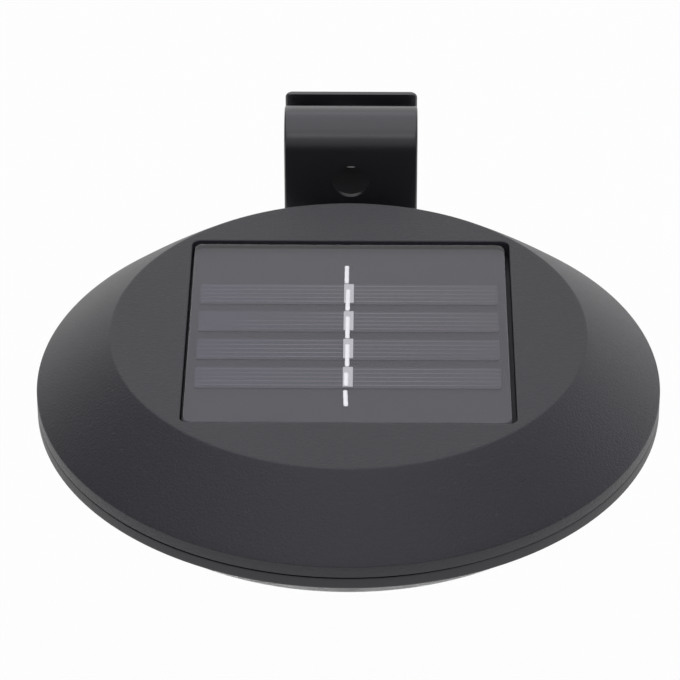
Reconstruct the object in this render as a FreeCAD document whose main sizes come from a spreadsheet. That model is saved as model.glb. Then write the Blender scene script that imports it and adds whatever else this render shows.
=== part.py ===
"""Round solar fence light on a bent strap, as a parametric assembly of separate pieces (millimetres).

Row frame: origin at the centre of the strap's clamp hole, on the strap's front face. +Z is up, +Y points
from the lamp through the strap, and the lamp hangs on the -Y side.
Lamp seat: the housing's own axis, with height 0 on its flat top. Pivot seat: the middle of the tilt bolt.
Battery seat: the middle of the battery bay, on the cell's axis.
"""
import FreeCAD, Part
import os
import Sketcher

V = FreeCAD.Vector
doc = FreeCAD.newDocument("fence_light")

# ---------------------------------------------------------------- driving sizes

SIZES = [
    # round housing, heights measured down from its flat top
    ("plateau_margin", 1.98), ("tub_margin", 5.5), ("bevel_run", 13.0), ("bevel_drop", 10.3),
    ("cover_drop", 12.5),
    ("seam_gap", 0.3), ("rim_drop", 14.8), ("shell_wall", 2.0), ("base_floor", 1.2), ("edge_round", 0.8),
    ("rim_round", 0.4),
    ("tongue_thick", 1.6), ("tongue_clear", 0.2), ("seal_thick", 0.5),
    # solar panel and its recess
    ("panel_border", 1.6), ("panel_gap", 0.5), ("recess_corner", 1.5), ("panel_sunk", 0.35),
    ("resin_thick", 0.8), ("board_thick", 1.2), ("tape_thick", 0.6), ("tape_width", 6.0),
    ("recess_floor", 1.5), ("window_length", 12.0), ("window_depth", 6.0), ("window_front", 10.0),
    ("cell_length", 52.0), ("cell_depth", 5.9), ("cell_space", 2.7), ("cell_count", 4), ("cell_front", 0.3),
    ("cell_thick", 0.25), ("busbar_width", 1.7), ("busbar_thick", 0.1), ("ribbon_width", 0.95),
    ("ribbon_thick", 0.15), ("ribbon_tail", 6.25), ("ribbon_start", 1.8),
    # battery, its holder and contacts
    ("battery_radius", 7.25), ("battery_length", 48.5), ("battery_round", 0.6), ("nub_radius", 2.75),
    ("nub_length", 1.3), ("battery_back", 9.0), ("holder_wall", 1.2), ("holder_clear", 0.25),
    ("holder_roof", 0.8), ("holder_grip", 10.5), ("contact_thick", 0.4), ("contact_width", 9.0),
    ("contact_height", 9.0), ("leaf_rise", 2.2), ("leaf_tip", 2.4),
    # light engine in its tub, and the wide lens that covers the underside
    ("tub_clear", 0.9), ("tub_draft", 2.4), ("tub_flange", 1.6), ("dish_edge", 2.2), ("led_board_gap", 0.4),
    ("led_board_radius", 13.0), ("led_board_thick", 1.2), ("reflector_wall", 0.9), ("reflector_depth", 2.8),
    ("led_circle", 7.5), ("led_radius", 2.4), ("led_height", 1.5), ("led_count", 3), ("led_fit", 0.2),
    ("lens_inset", 6.6), ("lens_wall", 1.4), ("lens_skin", 1.5), ("lens_depth", 5.4), ("lens_gap", 0.5),
    ("lens_round", 0.5), ("lens_crown", 1.7), ("lens_back_gap", 0.7), ("lens_seal_thick", 0.5),
    # cover screws, posts and bosses
    ("screw_radius", 1.5), ("screw_head", 2.8), ("screw_head_height", 1.7),
    ("screw_length", 7.0), ("screw_sunk", 0.1), ("screw_fit", 0.1), ("screw_gap", 0.4), ("screw_count", 4),
    ("post_radius", 3.4),
    ("boss_radius", 4.6), ("boss_rise", 2.6),
    # control board on its own posts
    ("control_length", 38.0), ("control_depth", 20.0), ("board_gap", 5.8), ("control_thick", 1.2),
    ("control_stand", 2.2), ("control_post", 2.4), ("control_inset", 4.0), ("control_screw", 1.0),
    ("control_screw_head", 1.9), ("control_screw_height", 1.2), ("control_screw_length", 2.8),
    ("chip_length", 5.0), ("chip_depth", 4.0), ("chip_height", 1.6), ("coil_radius", 3.0),
    ("coil_height", 5.0), ("capacitor_radius", 2.5), ("capacitor_height", 5.5), ("parts_spread", 8.0),
    ("parts_offset", 3.5),
    # push button and switch
    ("button_gap", 4.6), ("button_radius", 3.0), ("button_fit", 0.2), ("button_proud", 1.5),
    ("button_round", 0.6), ("button_flange", 3.7), ("flange_thick", 0.7), ("button_travel", 0.8),
    ("travel_spare", 0.2), ("plunger_radius", 1.2), ("plunger_length", 1.5), ("plunger_fit", 0.1),
    ("switch_side", 9.5), ("switch_height", 3.8), ("button_seal_thick", 0.4),
    # tilt pivot
    ("pivot_inset", 9.6), ("pivot_hang", 7.8), ("knuckle_radius", 5.6), ("lug_width", 8.0),
    ("ear_gap", 0.15), ("bolt_radius", 2.5), ("bolt_fit", 0.05), ("bolt_head", 4.4),
    ("bolt_head_height", 2.6), ("bolt_tail", 1.5), ("bolt_bevel", 0.5),
    ("socket_flats", 3.0), ("socket_depth", 1.6),
    ("washer_radius", 5.0), ("washer_thick", 0.9), ("nut_flats", 8.0), ("nut_thick", 4.0), ("nut_fit", 0.1),
    ("knob_radius", 5.9), ("knob_length", 8.0), ("knob_cap", 1.2), ("flute_radius", 0.8), ("flute_count", 8),
    # strap, heights measured from its clamp hole
    ("strap_width", 24.6), ("strap_thick", 1.0), ("plate_gap", 2.9), ("hole_radius", 3.3),
    ("hole_drop", 5.2), ("bend_radius", 5.7), ("bend_level", 6.3), ("leg_drop", 15.5), ("return_gap", 2.4),
    ("return_level", 10.6), ("access_radius", 6.5), ("strap_corner", 0.9), ("foot_bend", 3.0),
    ("foot_gap", 0.7), ("foot_lead", 2.5), ("ear_back", 8.0),
    # wires inside the housing
    ("wire_radius", 0.5), ("wire_bend", 1.5), ("wire_spread", 3.0), ("wire_loop", 2.6), ("wire_lap", 2.5),
    ("wire_back", 5.0), ("wire_inset", 3.0), ("switch_lead", 2.5),
]

size = doc.addObject("Spreadsheet::Sheet", "size")
for row, (alias, number) in enumerate(SIZES, start=1):
    size.set(f"A{row}", alias)
    size.set(f"B{row}", str(number))
    size.setAlias(f"B{row}", alias)
doc.recompute()


def value(formula):
    """The number that a formula in the sheet's names stands for."""
    return float(size.evalExpression(formula))


# ---------------------------------------------------------------- heights and radii worked out from them

CELL_PITCH = "(size.cell_depth + size.cell_space)"
HALF_PANEL = "(size.cell_length / 2 + size.panel_border)"
HALF_RECESS = f"({HALF_PANEL} + size.panel_gap)"
BOARD_TOP = "(-size.panel_sunk - size.resin_thick)"
BOARD_BOTTOM = f"({BOARD_TOP} - size.board_thick)"
RECESS_BOTTOM = f"({BOARD_BOTTOM} - size.tape_thick)"
DECK = f"({RECESS_BOTTOM} - size.recess_floor)"

BATTERY_AXIS = f"({DECK} - size.holder_roof - size.holder_clear - size.battery_radius)"
BAY_HALF = "((size.battery_length + size.nub_length + size.contact_thick + size.leaf_rise) / 2)"
HOLDER_HALF = f"({BAY_HALF} + size.holder_wall)"
HOLDER_SIDE = "(size.battery_radius + size.holder_clear + size.holder_wall)"
HOLDER_CORNER = f"sqrt({HOLDER_HALF} * {HOLDER_HALF} + (size.battery_back + {HOLDER_SIDE}) ^ 2)"
LED_BOARD_TOP = f"({BATTERY_AXIS} - size.battery_radius - size.led_board_gap)"
LED_BOARD_BOTTOM = f"({LED_BOARD_TOP} - size.led_board_thick)"

TUB_IN = f"({HOLDER_CORNER} + size.tub_clear)"
TUB_OUT = f"({TUB_IN} + size.reflector_wall)"
TUB_FLANGE = f"({TUB_OUT} + size.tub_flange)"
TUB_FOOT = f"({TUB_IN} - size.tub_draft)"
DISH = f"({TUB_FOOT} - size.dish_edge)"
DISH_LOW = f"({LED_BOARD_BOTTOM} - size.reflector_depth)"

# The flat top is as wide as the panel's recess or the light's tub below it needs, and the rim follows.
RECESS_REACH = f"(({HALF_RECESS} - size.recess_corner) * sqrt(2) + size.recess_corner)"
PLATEAU = f"max({RECESS_REACH} + size.plateau_margin; {TUB_OUT} + size.tub_margin)"
RIM = f"({PLATEAU} + size.bevel_run)"
SLOPE = "(size.bevel_drop / size.bevel_run)"
SINK = f"(size.shell_wall * sqrt(1 + {SLOPE} * {SLOPE}))"
TONGUE_OUT = f"({RIM} - size.shell_wall - size.tongue_clear)"
TONGUE_IN = f"({TONGUE_OUT} - size.tongue_thick)"
BASE_TOP = "(-size.cover_drop - size.seam_gap)"
FLOOR = "(-size.rim_drop + size.base_floor)"
TONGUE_END = f"({FLOOR} + size.seal_thick)"

LENS_OUT = f"({RIM} - size.lens_inset)"
LENS_IN = f"({LENS_OUT} - size.lens_wall)"
LENS_TOP = "(-size.rim_drop - size.lens_seal_thick)"
LENS_LOW = f"({LENS_TOP} - size.lens_depth)"
BOWL_IN = f"({TUB_OUT} + size.lens_gap)"
BOWL_OUT = f"({BOWL_IN} + size.lens_skin)"
BOWL_LOW = f"({DISH_LOW} - size.lens_gap)"

SCREW_SIDE = f"(({LENS_IN} - size.screw_head - size.screw_gap) * sqrt(0.5))"
SCREW_SEAT = "(-size.rim_drop + size.screw_head_height + size.screw_sunk)"
BOSS_TOP = f"({FLOOR} + size.boss_rise)"

CONTROL_TOP = f"({DECK} - size.control_stand)"
CONTROL_BOTTOM = f"({CONTROL_TOP} - size.control_thick)"
CONTROL_EDGE = f"({HOLDER_SIDE} - size.battery_back + size.board_gap)"
CONTROL_FRONT = f"({CONTROL_EDGE} + size.control_depth / 2)"
CONTROL_SPOT = "(size.control_length / 2 - size.control_inset)"
PARTS_FRONT = f"({CONTROL_FRONT} + size.parts_offset)"

BUTTON_FRONT = f"({LENS_IN} - size.button_gap)"
SEAL_TOP = f"({FLOOR} + size.button_seal_thick)"
FLANGE_TOP = f"({SEAL_TOP} + size.flange_thick)"
SWITCH_BOTTOM = f"({FLANGE_TOP} + size.button_travel + size.travel_spare)"
PLUNGER_TOP = f"({SWITCH_BOTTOM} + size.plunger_length)"

EAR_IN = "(size.lug_width / 2 + size.ear_gap)"
EAR_OUT = f"({EAR_IN} + size.strap_thick)"
WASHER_OUT = f"({EAR_OUT} + size.washer_thick)"
BOLT_END = f"({WASHER_OUT} + size.nut_thick + size.bolt_tail)"
BOLT_BORE = "(size.bolt_radius + size.bolt_fit)"
PLATE_REACH = f"({RIM} + size.plate_gap)"
PIVOT_BACK = f"({RIM} - size.pivot_inset)"
PIVOT_DROP = "(size.rim_drop + size.pivot_hang)"
LENS_BACK = f"({PIVOT_BACK} - size.knuckle_radius - size.lens_back_gap)"
PIVOT_Y = "(-size.pivot_inset - size.plate_gap)"
PIVOT_Z = f"(size.hole_drop - {PIVOT_DROP})"
FOOT_TOP = f"({PIVOT_Z} - size.knuckle_radius - size.foot_gap)"
FOOT_BOTTOM = f"({FOOT_TOP} - size.strap_thick)"

ROUND = "sqrt(0.5)"

SEATS = {
    "row": ("0", "0"),
    "lamp": (f"-{PLATE_REACH}", "size.hole_drop"),
    "pivot": (PIVOT_Y, PIVOT_Z),
    "battery": (f"size.battery_back - {PLATE_REACH}", f"size.hole_drop + {BATTERY_AXIS}"),
}

nodes = []


# ---------------------------------------------------------------- ways of making pieces

def seat(piece, name):
    """Puts a piece on the row frame, the lamp's axis, the pivot or the battery's axis."""
    back, up = SEATS[name]
    piece.setExpression("Placement.Base.y", back)
    piece.setExpression("Placement.Base.z", up)
    nodes.append(piece)


def new_body(label, seat_name="lamp"):
    """An empty body for one node."""
    body = doc.addObject("PartDesign::Body", label)
    body.Label = label
    seat(body, seat_name)
    return body


def own_origin(body, role):
    """One of the body's own origin planes or axes."""
    return next(item for item in body.Origin.OriginFeatures if item.Role == role)


def new_sketch(body, name, plane, offset="0"):
    """An empty sketch on one of the body's own planes, moved along that plane's normal."""
    sketch = body.newObject("Sketcher::SketchObject", name)
    sketch.AttachmentSupport = (own_origin(body, plane), [""])
    sketch.MapMode = "FlatFace"
    sketch.setExpression("AttachmentOffset.Base.z", offset)
    return sketch


def tie_point(sketch, item, end, across, up):
    """Ties a point of the sketch to its two coordinates."""
    for kind, formula in (("DistanceX", across), ("DistanceY", up)):
        index = sketch.addConstraint(Sketcher.Constraint(kind, -1, 1, item, end, value(formula)))
        sketch.setExpression(f"Constraints[{index}]", formula)


def add_outline(sketch, corners, closed=True):
    """A row of lines. A corner is (x, y), or (x, y, via_x, via_y) where an arc through via leads to it."""
    first = sketch.GeometryCount
    points = [V(value(corner[0]), value(corner[1]), 0) for corner in corners]
    ends = []
    for index, start in enumerate(points if closed else points[:-1]):
        after = (index + 1) % len(points)
        stop, corner = points[after], corners[after]
        if len(corner) == 2:
            sketch.addGeometry(Part.LineSegment(start, stop), False)
            ends.append((1, 2))
            continue
        via = V(value(corner[2]), value(corner[3]), 0)
        turns_left = (via - start).cross(stop - via).z > 0
        arc = Part.Arc(start, via, stop) if turns_left else Part.Arc(stop, via, start)
        sketch.addGeometry(arc, False)
        ends.append((1, 2) if turns_left else (2, 1))
    for index, (begin, _) in enumerate(ends):
        if closed or index:
            before = (index - 1) % len(ends)
            sketch.addConstraint(Sketcher.Constraint(
                "Coincident", first + before, ends[before][1], first + index, begin))
        tie_point(sketch, first + index, begin, corners[index][0], corners[index][1])
    if not closed:
        tie_point(sketch, first + len(ends) - 1, ends[-1][1], corners[-1][0], corners[-1][1])


def add_circle(sketch, across, up, radius):
    """A circle by its centre and radius."""
    circle = Part.Circle(V(value(across), value(up), 0), V(0, 0, 1), value(radius))
    item = sketch.addGeometry(circle, False)
    tie_point(sketch, item, 3, across, up)
    index = sketch.addConstraint(Sketcher.Constraint("Radius", item, value(radius)))
    sketch.setExpression(f"Constraints[{index}]", radius)


def add_box(sketch, across, up, width, height):
    """An upright rectangle by its middle and its two sides."""
    left, right = f"{across} - {width} / 2", f"{across} + {width} / 2"
    low, high = f"{up} - {height} / 2", f"{up} + {height} / 2"
    add_outline(sketch, [(left, low), (right, low), (right, high), (left, high)])


def add_rounded_square(sketch, half, corner):
    """A square about the origin with round corners."""
    flat = f"({half} - {corner})"
    bulge = f"({flat} + {corner} * {ROUND})"
    add_outline(sketch, [
        (f"-{flat}", f"-{half}", f"-{bulge}", f"-{bulge}"), (flat, f"-{half}"),
        (half, f"-{flat}", bulge, f"-{bulge}"), (half, flat),
        (flat, half, bulge, bulge), (f"-{flat}", half),
        (f"-{half}", flat, f"-{bulge}", bulge), (f"-{half}", f"-{flat}"),
    ])


def add_hexagon(sketch, flats):
    """A hexagon about the origin by its width across flats, with corners up and down."""
    side, point = f"({flats} / 2)", f"({flats} / sqrt(3))"
    add_outline(sketch, [
        ("0", point), (f"-{side}", f"{point} / 2"), (f"-{side}", f"-{point} / 2"),
        ("0", f"-{point}"), (side, f"-{point} / 2"), (side, f"{point} / 2"),
    ])


def pad(body, sketch, length, both_ways=False, reverse=False):
    """Adds the sketch's area as material."""
    feature = body.newObject("PartDesign::Pad", f"{sketch.Name}_pad")
    feature.Profile = sketch
    feature.setExpression("Length", length)
    feature.SideType = "Symmetric" if both_ways else "One side"
    feature.Reversed = reverse
    doc.recompute()
    return feature


def pocket(body, sketch, length, both_ways=False, reverse=False):
    """Cuts the sketch's area away, and makes sure that the cut meets the solid."""
    before = body.Shape.Volume
    feature = body.newObject("PartDesign::Pocket", f"{sketch.Name}_cut")
    feature.Profile = sketch
    feature.setExpression("Length", length)
    feature.SideType = "Symmetric" if both_ways else "One side"
    feature.Reversed = reverse
    doc.recompute()
    if not body.Shape.Volume < before:
        raise RuntimeError(f"{feature.Label} cuts nothing")
    return feature


def turn(body, sketch, axis="V_Axis"):
    """Revolves the sketch once round its own upright or level axis."""
    feature = body.newObject("PartDesign::Revolution", f"{sketch.Name}_turn")
    feature.Profile = sketch
    feature.ReferenceAxis = (sketch, [axis])
    feature.Angle = 360
    doc.recompute()
    return feature


def repeat_round(body, features, count, axis="Z_Axis"):
    """Repeats features evenly round one of the body's axes."""
    pattern = body.newObject("PartDesign::PolarPattern", f"{features[0].Name}_round")
    pattern.Originals = features
    pattern.Axis = (own_origin(body, axis), [""])
    pattern.Angle = 360
    pattern.setExpression("Occurrences", count)
    body.Tip = pattern
    doc.recompute()


def mirror(body, features, plane):
    """Repeats features on the other side of one of the body's planes."""
    copy = body.newObject("PartDesign::Mirrored", f"{features[0].Name}_mirror")
    copy.Originals = features
    copy.MirrorPlane = (own_origin(body, plane), [""])
    body.Tip = copy
    doc.recompute()


def round_edges(body, radius, chosen):
    """Rounds the edges that the test picks."""
    base = body.Tip
    names = [f"Edge{n}" for n, edge in enumerate(base.Shape.Edges, start=1) if chosen(edge)]
    if not names:
        raise RuntimeError(f"{body.Label} has no such edge")
    feature = body.newObject("PartDesign::Fillet", f"{body.Name}_round")
    feature.Base = (base, names)
    feature.setExpression("Radius", radius)
    doc.recompute()


def is_ring(radius, level):
    """A test for a circle of this radius at this height."""
    def chosen(edge):
        return (isinstance(edge.Curve, Part.Circle) and abs(edge.Curve.Radius - value(radius)) < 0.01
                and abs(edge.Curve.Center.z - value(level)) < 0.01)
    return chosen


# ---------------------------------------------------------------- the strap and its pivot

def make_strap():
    """Hook, clamp plate, return leg and foot from one strip, with two ears bent up from the foot."""
    body = new_body("bracket_strap", "row")
    sheet, bend, gap = "size.strap_thick", "size.bend_radius", "size.return_gap"
    level, low = "size.bend_level", "(-size.leg_drop)"
    leg = f"(2 * {bend})"
    turn_y = f"({leg} + {gap} / 2)"
    foot_y, foot_z = f"({sheet} - size.foot_bend)", f"({FOOT_BOTTOM} + size.foot_bend)"
    front = f"({PIVOT_Y} - size.foot_lead)"
    outer, inner = f"size.foot_bend * {ROUND}", f"(size.foot_bend - {sheet}) * {ROUND}"
    strip = new_sketch(body, "strip", "YZ_Plane")
    add_outline(strip, [
        (front, FOOT_BOTTOM),
        (foot_y, FOOT_BOTTOM),
        (sheet, foot_z, f"{foot_y} + {outer}", f"{foot_z} - {outer}"),
        (sheet, level),
        (f"{leg} - {sheet}", level, bend, f"{level} + {bend} - {sheet}"),
        (f"{leg} - {sheet}", low),
        (f"{leg} + {gap} + {sheet}", low, turn_y, f"{low} - {gap} / 2 - {sheet}"),
        (f"{leg} + {gap} + {sheet}", "size.return_level"),
        (f"{leg} + {gap}", "size.return_level"),
        (f"{leg} + {gap}", low),
        (leg, low, turn_y, f"{low} - {gap} / 2"),
        (leg, level),
        ("0", level, bend, f"{level} + {bend}"),
        ("0", foot_z),
        (foot_y, FOOT_TOP, f"{foot_y} + {inner}", f"{foot_z} - {inner}"),
        (front, FOOT_TOP),
    ])
    pad(body, strip, "size.strap_width", both_ways=True)

    clamp_hole = new_sketch(body, "clamp_hole", "XZ_Plane", sheet)
    add_circle(clamp_hole, "0", "0", "size.hole_radius")
    pocket(body, clamp_hole, f"{sheet} + {turn_y}")
    access_hole = new_sketch(body, "access_hole", "XZ_Plane", f"-{turn_y}")
    add_circle(access_hole, "0", "0", "size.access_radius")
    pocket(body, access_hole, f"{gap} + {sheet}")

    half = "(size.strap_width / 2)"
    for name, side in (("taper_right", "1"), ("taper_left", "-1")):
        taper = new_sketch(body, name, "XY_Plane", f"{FOOT_TOP} + {sheet}")
        add_outline(taper, [
            (f"{side} * {half}", "-size.foot_bend"),
            (f"{side} * {EAR_OUT}", f"{PIVOT_Y} + size.knuckle_radius"),
            (f"{side} * {EAR_OUT}", f"{front} - {sheet}"),
            (f"{side} * ({half} + {sheet})", f"{front} - {sheet}"),
            (f"{side} * ({half} + {sheet})", "-size.foot_bend"),
        ])
        pocket(body, taper, f"3 * {sheet}")

    ear = new_sketch(body, "ear", "YZ_Plane", EAR_IN)
    add_outline(ear, [
        (f"{PIVOT_Y} + size.knuckle_radius", PIVOT_Z),
        (f"{PIVOT_Y} - size.knuckle_radius", PIVOT_Z, PIVOT_Y, f"{PIVOT_Z} + size.knuckle_radius"),
        (front, FOOT_BOTTOM),
        (f"{PIVOT_Y} + size.ear_back", FOOT_BOTTOM),
    ])
    mirror(body, [pad(body, ear, sheet)], "YZ_Plane")
    ear_bore = new_sketch(body, "ear_bore", "YZ_Plane")
    add_circle(ear_bore, PIVOT_Y, PIVOT_Z, BOLT_BORE)
    pocket(body, ear_bore, f"2 * {WASHER_OUT}", both_ways=True)

    top, side = value("size.return_level"), value(half)

    def is_top_corner(edge):
        box = edge.BoundBox
        return (box.ZLength < 0.01 and box.XLength < 0.01 and abs(box.ZMin - top) < 0.01
                and abs(abs(box.XMin) - side) < 0.01)

    round_edges(body, "size.strap_corner", is_top_corner)


def make_bolt():
    """Pan head bolt with a hexagon socket, turned about its own axis."""
    body = new_body("pivot_bolt", "pivot")
    head = f"({WASHER_OUT} + size.bolt_head_height)"
    dome = "(size.bolt_bevel * 2)"
    shank = new_sketch(body, "bolt_profile", "XY_Plane")
    add_outline(shank, [
        (f"-{head}", "0"), (BOLT_END, "0"), (BOLT_END, "size.bolt_radius - size.bolt_bevel"),
        (f"{BOLT_END} - size.bolt_bevel", "size.bolt_radius"), (f"-{WASHER_OUT}", "size.bolt_radius"),
        (f"-{WASHER_OUT}", "size.bolt_head"), (f"-{head} + {dome}", "size.bolt_head"),
        (f"-{head}", f"size.bolt_head - {dome}",
         f"-{head} + {dome} * (1 - {ROUND})", f"size.bolt_head - {dome} * (1 - {ROUND})"),
    ])
    turn(body, shank, "H_Axis")
    socket = new_sketch(body, "socket", "YZ_Plane", f"-{head}")
    add_hexagon(socket, "size.socket_flats")
    pocket(body, socket, "size.socket_depth", reverse=True)


def make_washers():
    """One washer outside each ear."""
    body = new_body("pivot_washers", "pivot")
    ring = new_sketch(body, "washer", "YZ_Plane", EAR_OUT)
    add_circle(ring, "0", "0", "size.washer_radius")
    add_circle(ring, "0", "0", BOLT_BORE)
    mirror(body, [pad(body, ring, "size.washer_thick")], "YZ_Plane")


def make_knob_nut():
    """Hexagon nut that sits in the knob."""
    body = new_body("knob_nut", "pivot")
    nut = new_sketch(body, "nut", "YZ_Plane", WASHER_OUT)
    add_hexagon(nut, "size.nut_flats")
    add_circle(nut, "0", "0", BOLT_BORE)
    pad(body, nut, "size.nut_thick")


def make_knob():
    """Fluted thumb knob, hollow for the nut and the bolt's end."""
    body = new_body("thumb_knob", "pivot")
    barrel = new_sketch(body, "knob", "YZ_Plane", WASHER_OUT)
    add_circle(barrel, "0", "0", "size.knob_radius")
    pad(body, barrel, "size.knob_length")
    flute = new_sketch(body, "flute", "YZ_Plane", WASHER_OUT)
    add_circle(flute, "0", "size.knob_radius", "size.flute_radius")
    repeat_round(body, [pocket(body, flute, "size.knob_length", reverse=True)], "size.flute_count", "X_Axis")
    nut_seat = new_sketch(body, "nut_seat", "YZ_Plane", WASHER_OUT)
    add_hexagon(nut_seat, "(size.nut_flats + 2 * size.nut_fit)")
    pocket(body, nut_seat, "size.nut_thick", reverse=True)
    bolt_room = new_sketch(body, "bolt_room", "YZ_Plane", WASHER_OUT)
    add_circle(bolt_room, "0", "0", "size.bolt_radius + size.nut_fit")
    pocket(body, bolt_room, "size.knob_length - size.knob_cap", reverse=True)


# ---------------------------------------------------------------- housing

def add_screw_bore(body, level, length):
    """Pilot bores of the cover screws, upwards from a level."""
    bore = new_sketch(body, "screw_bore", "XY_Plane", level)
    add_circle(bore, SCREW_SIDE, SCREW_SIDE, "size.screw_radius + size.screw_fit")
    return pocket(body, bore, length, reverse=True)


def make_cover():
    """Upper shell: flat top, bevel, lip and tongue in one turned profile, then the panel's recess."""
    body = new_body("top_cover")
    shell = new_sketch(body, "cover_profile", "XZ_Plane")
    add_outline(shell, [
        ("0", "0"), ("0", DECK), (f"{PLATEAU} - ({DECK} + {SINK}) / {SLOPE}", DECK),
        (TONGUE_IN, f"-{SINK} - ({TONGUE_IN} - {PLATEAU}) * {SLOPE}"),
        (TONGUE_IN, TONGUE_END), (TONGUE_OUT, TONGUE_END), (TONGUE_OUT, "-size.cover_drop"),
        (RIM, "-size.cover_drop"), (RIM, "-size.bevel_drop"),
        (PLATEAU, "0"),
    ])
    turn(body, shell)
    round_edges(body, "size.edge_round", is_ring(PLATEAU, "0"))
    round_edges(body, "size.edge_round", is_ring(RIM, "-size.bevel_drop"))

    recess = new_sketch(body, "recess", "XY_Plane")
    add_rounded_square(recess, HALF_RECESS, "size.recess_corner")
    pocket(body, recess, f"-{RECESS_BOTTOM}")
    window = new_sketch(body, "wire_window", "XY_Plane")
    add_box(window, "0", "(-size.window_front)", "size.window_length", "size.window_depth")
    pocket(body, window, f"size.recess_floor - {DECK}")

    core = new_sketch(body, "core_segment", "XY_Plane", DECK)
    chord, reach = f"({HALF_RECESS} + size.shell_wall)", f"({PLATEAU} - size.edge_round)"
    half_chord = f"sqrt({reach} * {reach} - {chord} * {chord})"
    add_outline(core, [(f"-{half_chord}", chord, "0", reach), (half_chord, chord)])
    repeat_round(body, [pocket(body, core, f"-{DECK} - size.shell_wall", reverse=True)], "4")

    post = new_sketch(body, "screw_post", "XY_Plane", BOSS_TOP)
    add_circle(post, SCREW_SIDE, SCREW_SIDE, "size.post_radius")
    post_pad = pad(body, post, f"{DECK} - {BOSS_TOP}")
    grip = f"{SCREW_SEAT} + size.screw_length - {BOSS_TOP} + size.screw_fit"
    repeat_round(body, [post_pad, add_screw_bore(body, BOSS_TOP, grip)], "size.screw_count")

    stand = new_sketch(body, "control_posts", "XY_Plane", CONTROL_TOP)
    stand_bore = new_sketch(body, "control_bores", "XY_Plane", CONTROL_TOP)
    for side in ("", "-"):
        add_circle(stand, f"{side}{CONTROL_SPOT}", f"-{CONTROL_FRONT}", "size.control_post")
        add_circle(stand_bore, f"{side}{CONTROL_SPOT}", f"-{CONTROL_FRONT}",
                   "size.control_screw + size.screw_fit")
    pad(body, stand, "size.control_stand")
    pocket(body, stand_bore, "size.control_screw_length - size.control_thick + size.screw_fit", reverse=True)


def make_base():
    """Lower shell: rim and flat floor ring in one turned profile, with lug, bosses and cradle."""
    body = new_body("base_shell")
    shell = new_sketch(body, "base_profile", "XZ_Plane")
    lean = f"size.rim_round * (1 - {ROUND})"
    add_outline(shell, [
        (RIM, BASE_TOP), (RIM, "size.rim_round - size.rim_drop"),
        (f"{RIM} - size.rim_round", "-size.rim_drop",
         f"{RIM} - {lean}", f"{lean} - size.rim_drop"),
        (TUB_IN, "-size.rim_drop"), (TUB_IN, FLOOR), (f"{RIM} - size.shell_wall", FLOOR),
        (f"{RIM} - size.shell_wall", BASE_TOP),
    ])
    turn(body, shell)

    boss = new_sketch(body, "screw_boss", "XY_Plane", FLOOR)
    add_circle(boss, SCREW_SIDE, SCREW_SIDE, "size.boss_radius")
    boss_pad = pad(body, boss, "size.boss_rise")
    sink = new_sketch(body, "screw_sink", "XY_Plane", "-size.rim_drop")
    add_circle(sink, SCREW_SIDE, SCREW_SIDE, "size.screw_head + 2 * size.screw_fit")
    sink_cut = pocket(body, sink, "size.screw_head_height + size.screw_sunk", reverse=True)
    bore_cut = add_screw_bore(body, "-size.rim_drop", f"{BOSS_TOP} + size.rim_drop")
    repeat_round(body, [boss_pad, sink_cut, bore_cut], "size.screw_count")

    lug = new_sketch(body, "lug", "YZ_Plane")
    root = "size.base_floor / 2 - size.rim_drop"
    add_outline(lug, [
        (f"{PIVOT_BACK} - size.knuckle_radius", root),
        (f"{PIVOT_BACK} - size.knuckle_radius", f"-{PIVOT_DROP}"),
        (f"{PIVOT_BACK} + size.knuckle_radius", f"-{PIVOT_DROP}",
         PIVOT_BACK, f"-{PIVOT_DROP} - size.knuckle_radius"),
        (f"{PIVOT_BACK} + size.knuckle_radius", root),
    ])
    pad(body, lug, "size.lug_width", both_ways=True)
    lug_bore = new_sketch(body, "lug_bore", "YZ_Plane")
    add_circle(lug_bore, PIVOT_BACK, f"-{PIVOT_DROP}", BOLT_BORE)
    pocket(body, lug_bore, f"2 * {EAR_OUT}", both_ways=True)

    cradle = new_sketch(body, "switch_cradle", "XY_Plane", FLOOR)
    add_box(cradle, "0", f"(-{BUTTON_FRONT})", "size.switch_side", "size.switch_side")
    pad(body, cradle, f"{SWITCH_BOTTOM} - {FLOOR}")
    flange_room = new_sketch(body, "flange_room", "XY_Plane", FLOOR)
    add_circle(flange_room, "0", f"-{BUTTON_FRONT}", "size.button_flange + size.button_fit")
    pocket(body, flange_room, f"{SWITCH_BOTTOM} - {FLOOR}", reverse=True)
    button_hole = new_sketch(body, "button_hole", "XY_Plane", "-size.rim_drop")
    add_circle(button_hole, "0", f"-{BUTTON_FRONT}", "size.button_radius + size.button_fit")
    pocket(body, button_hole, "size.base_floor", reverse=True)


def make_ring(label, inner, outer, low, high):
    """A flat ring round the lamp's axis, between two radii and two heights."""
    body = new_body(label)
    ring = new_sketch(body, f"{label}_ring", "XY_Plane", low)
    add_circle(ring, "0", "0", outer)
    add_circle(ring, "0", "0", inner)
    pad(body, ring, f"{high} - {low}")


def make_cover_screws():
    """Pan head screws that draw the base up to the cover's posts."""
    body = new_body("cover_screws")
    head = new_sketch(body, "cover_screw_head", "XY_Plane", SCREW_SEAT)
    add_circle(head, SCREW_SIDE, SCREW_SIDE, "size.screw_head")
    shank = new_sketch(body, "cover_screw_shank", "XY_Plane", SCREW_SEAT)
    add_circle(shank, SCREW_SIDE, SCREW_SIDE, "size.screw_radius")
    head_pad = pad(body, head, "size.screw_head_height", reverse=True)
    repeat_round(body, [head_pad, pad(body, shank, "size.screw_length")], "size.screw_count")


# ---------------------------------------------------------------- solar panel

def add_cells(sketch, width):
    """One rectangle per cell strip, spread evenly about the panel's middle."""
    for index in range(round(value("size.cell_count"))):
        middle = f"({index} - (size.cell_count - 1) / 2) * {CELL_PITCH} - size.cell_front"
        add_box(sketch, "0", middle, width, "size.cell_depth")


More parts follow.
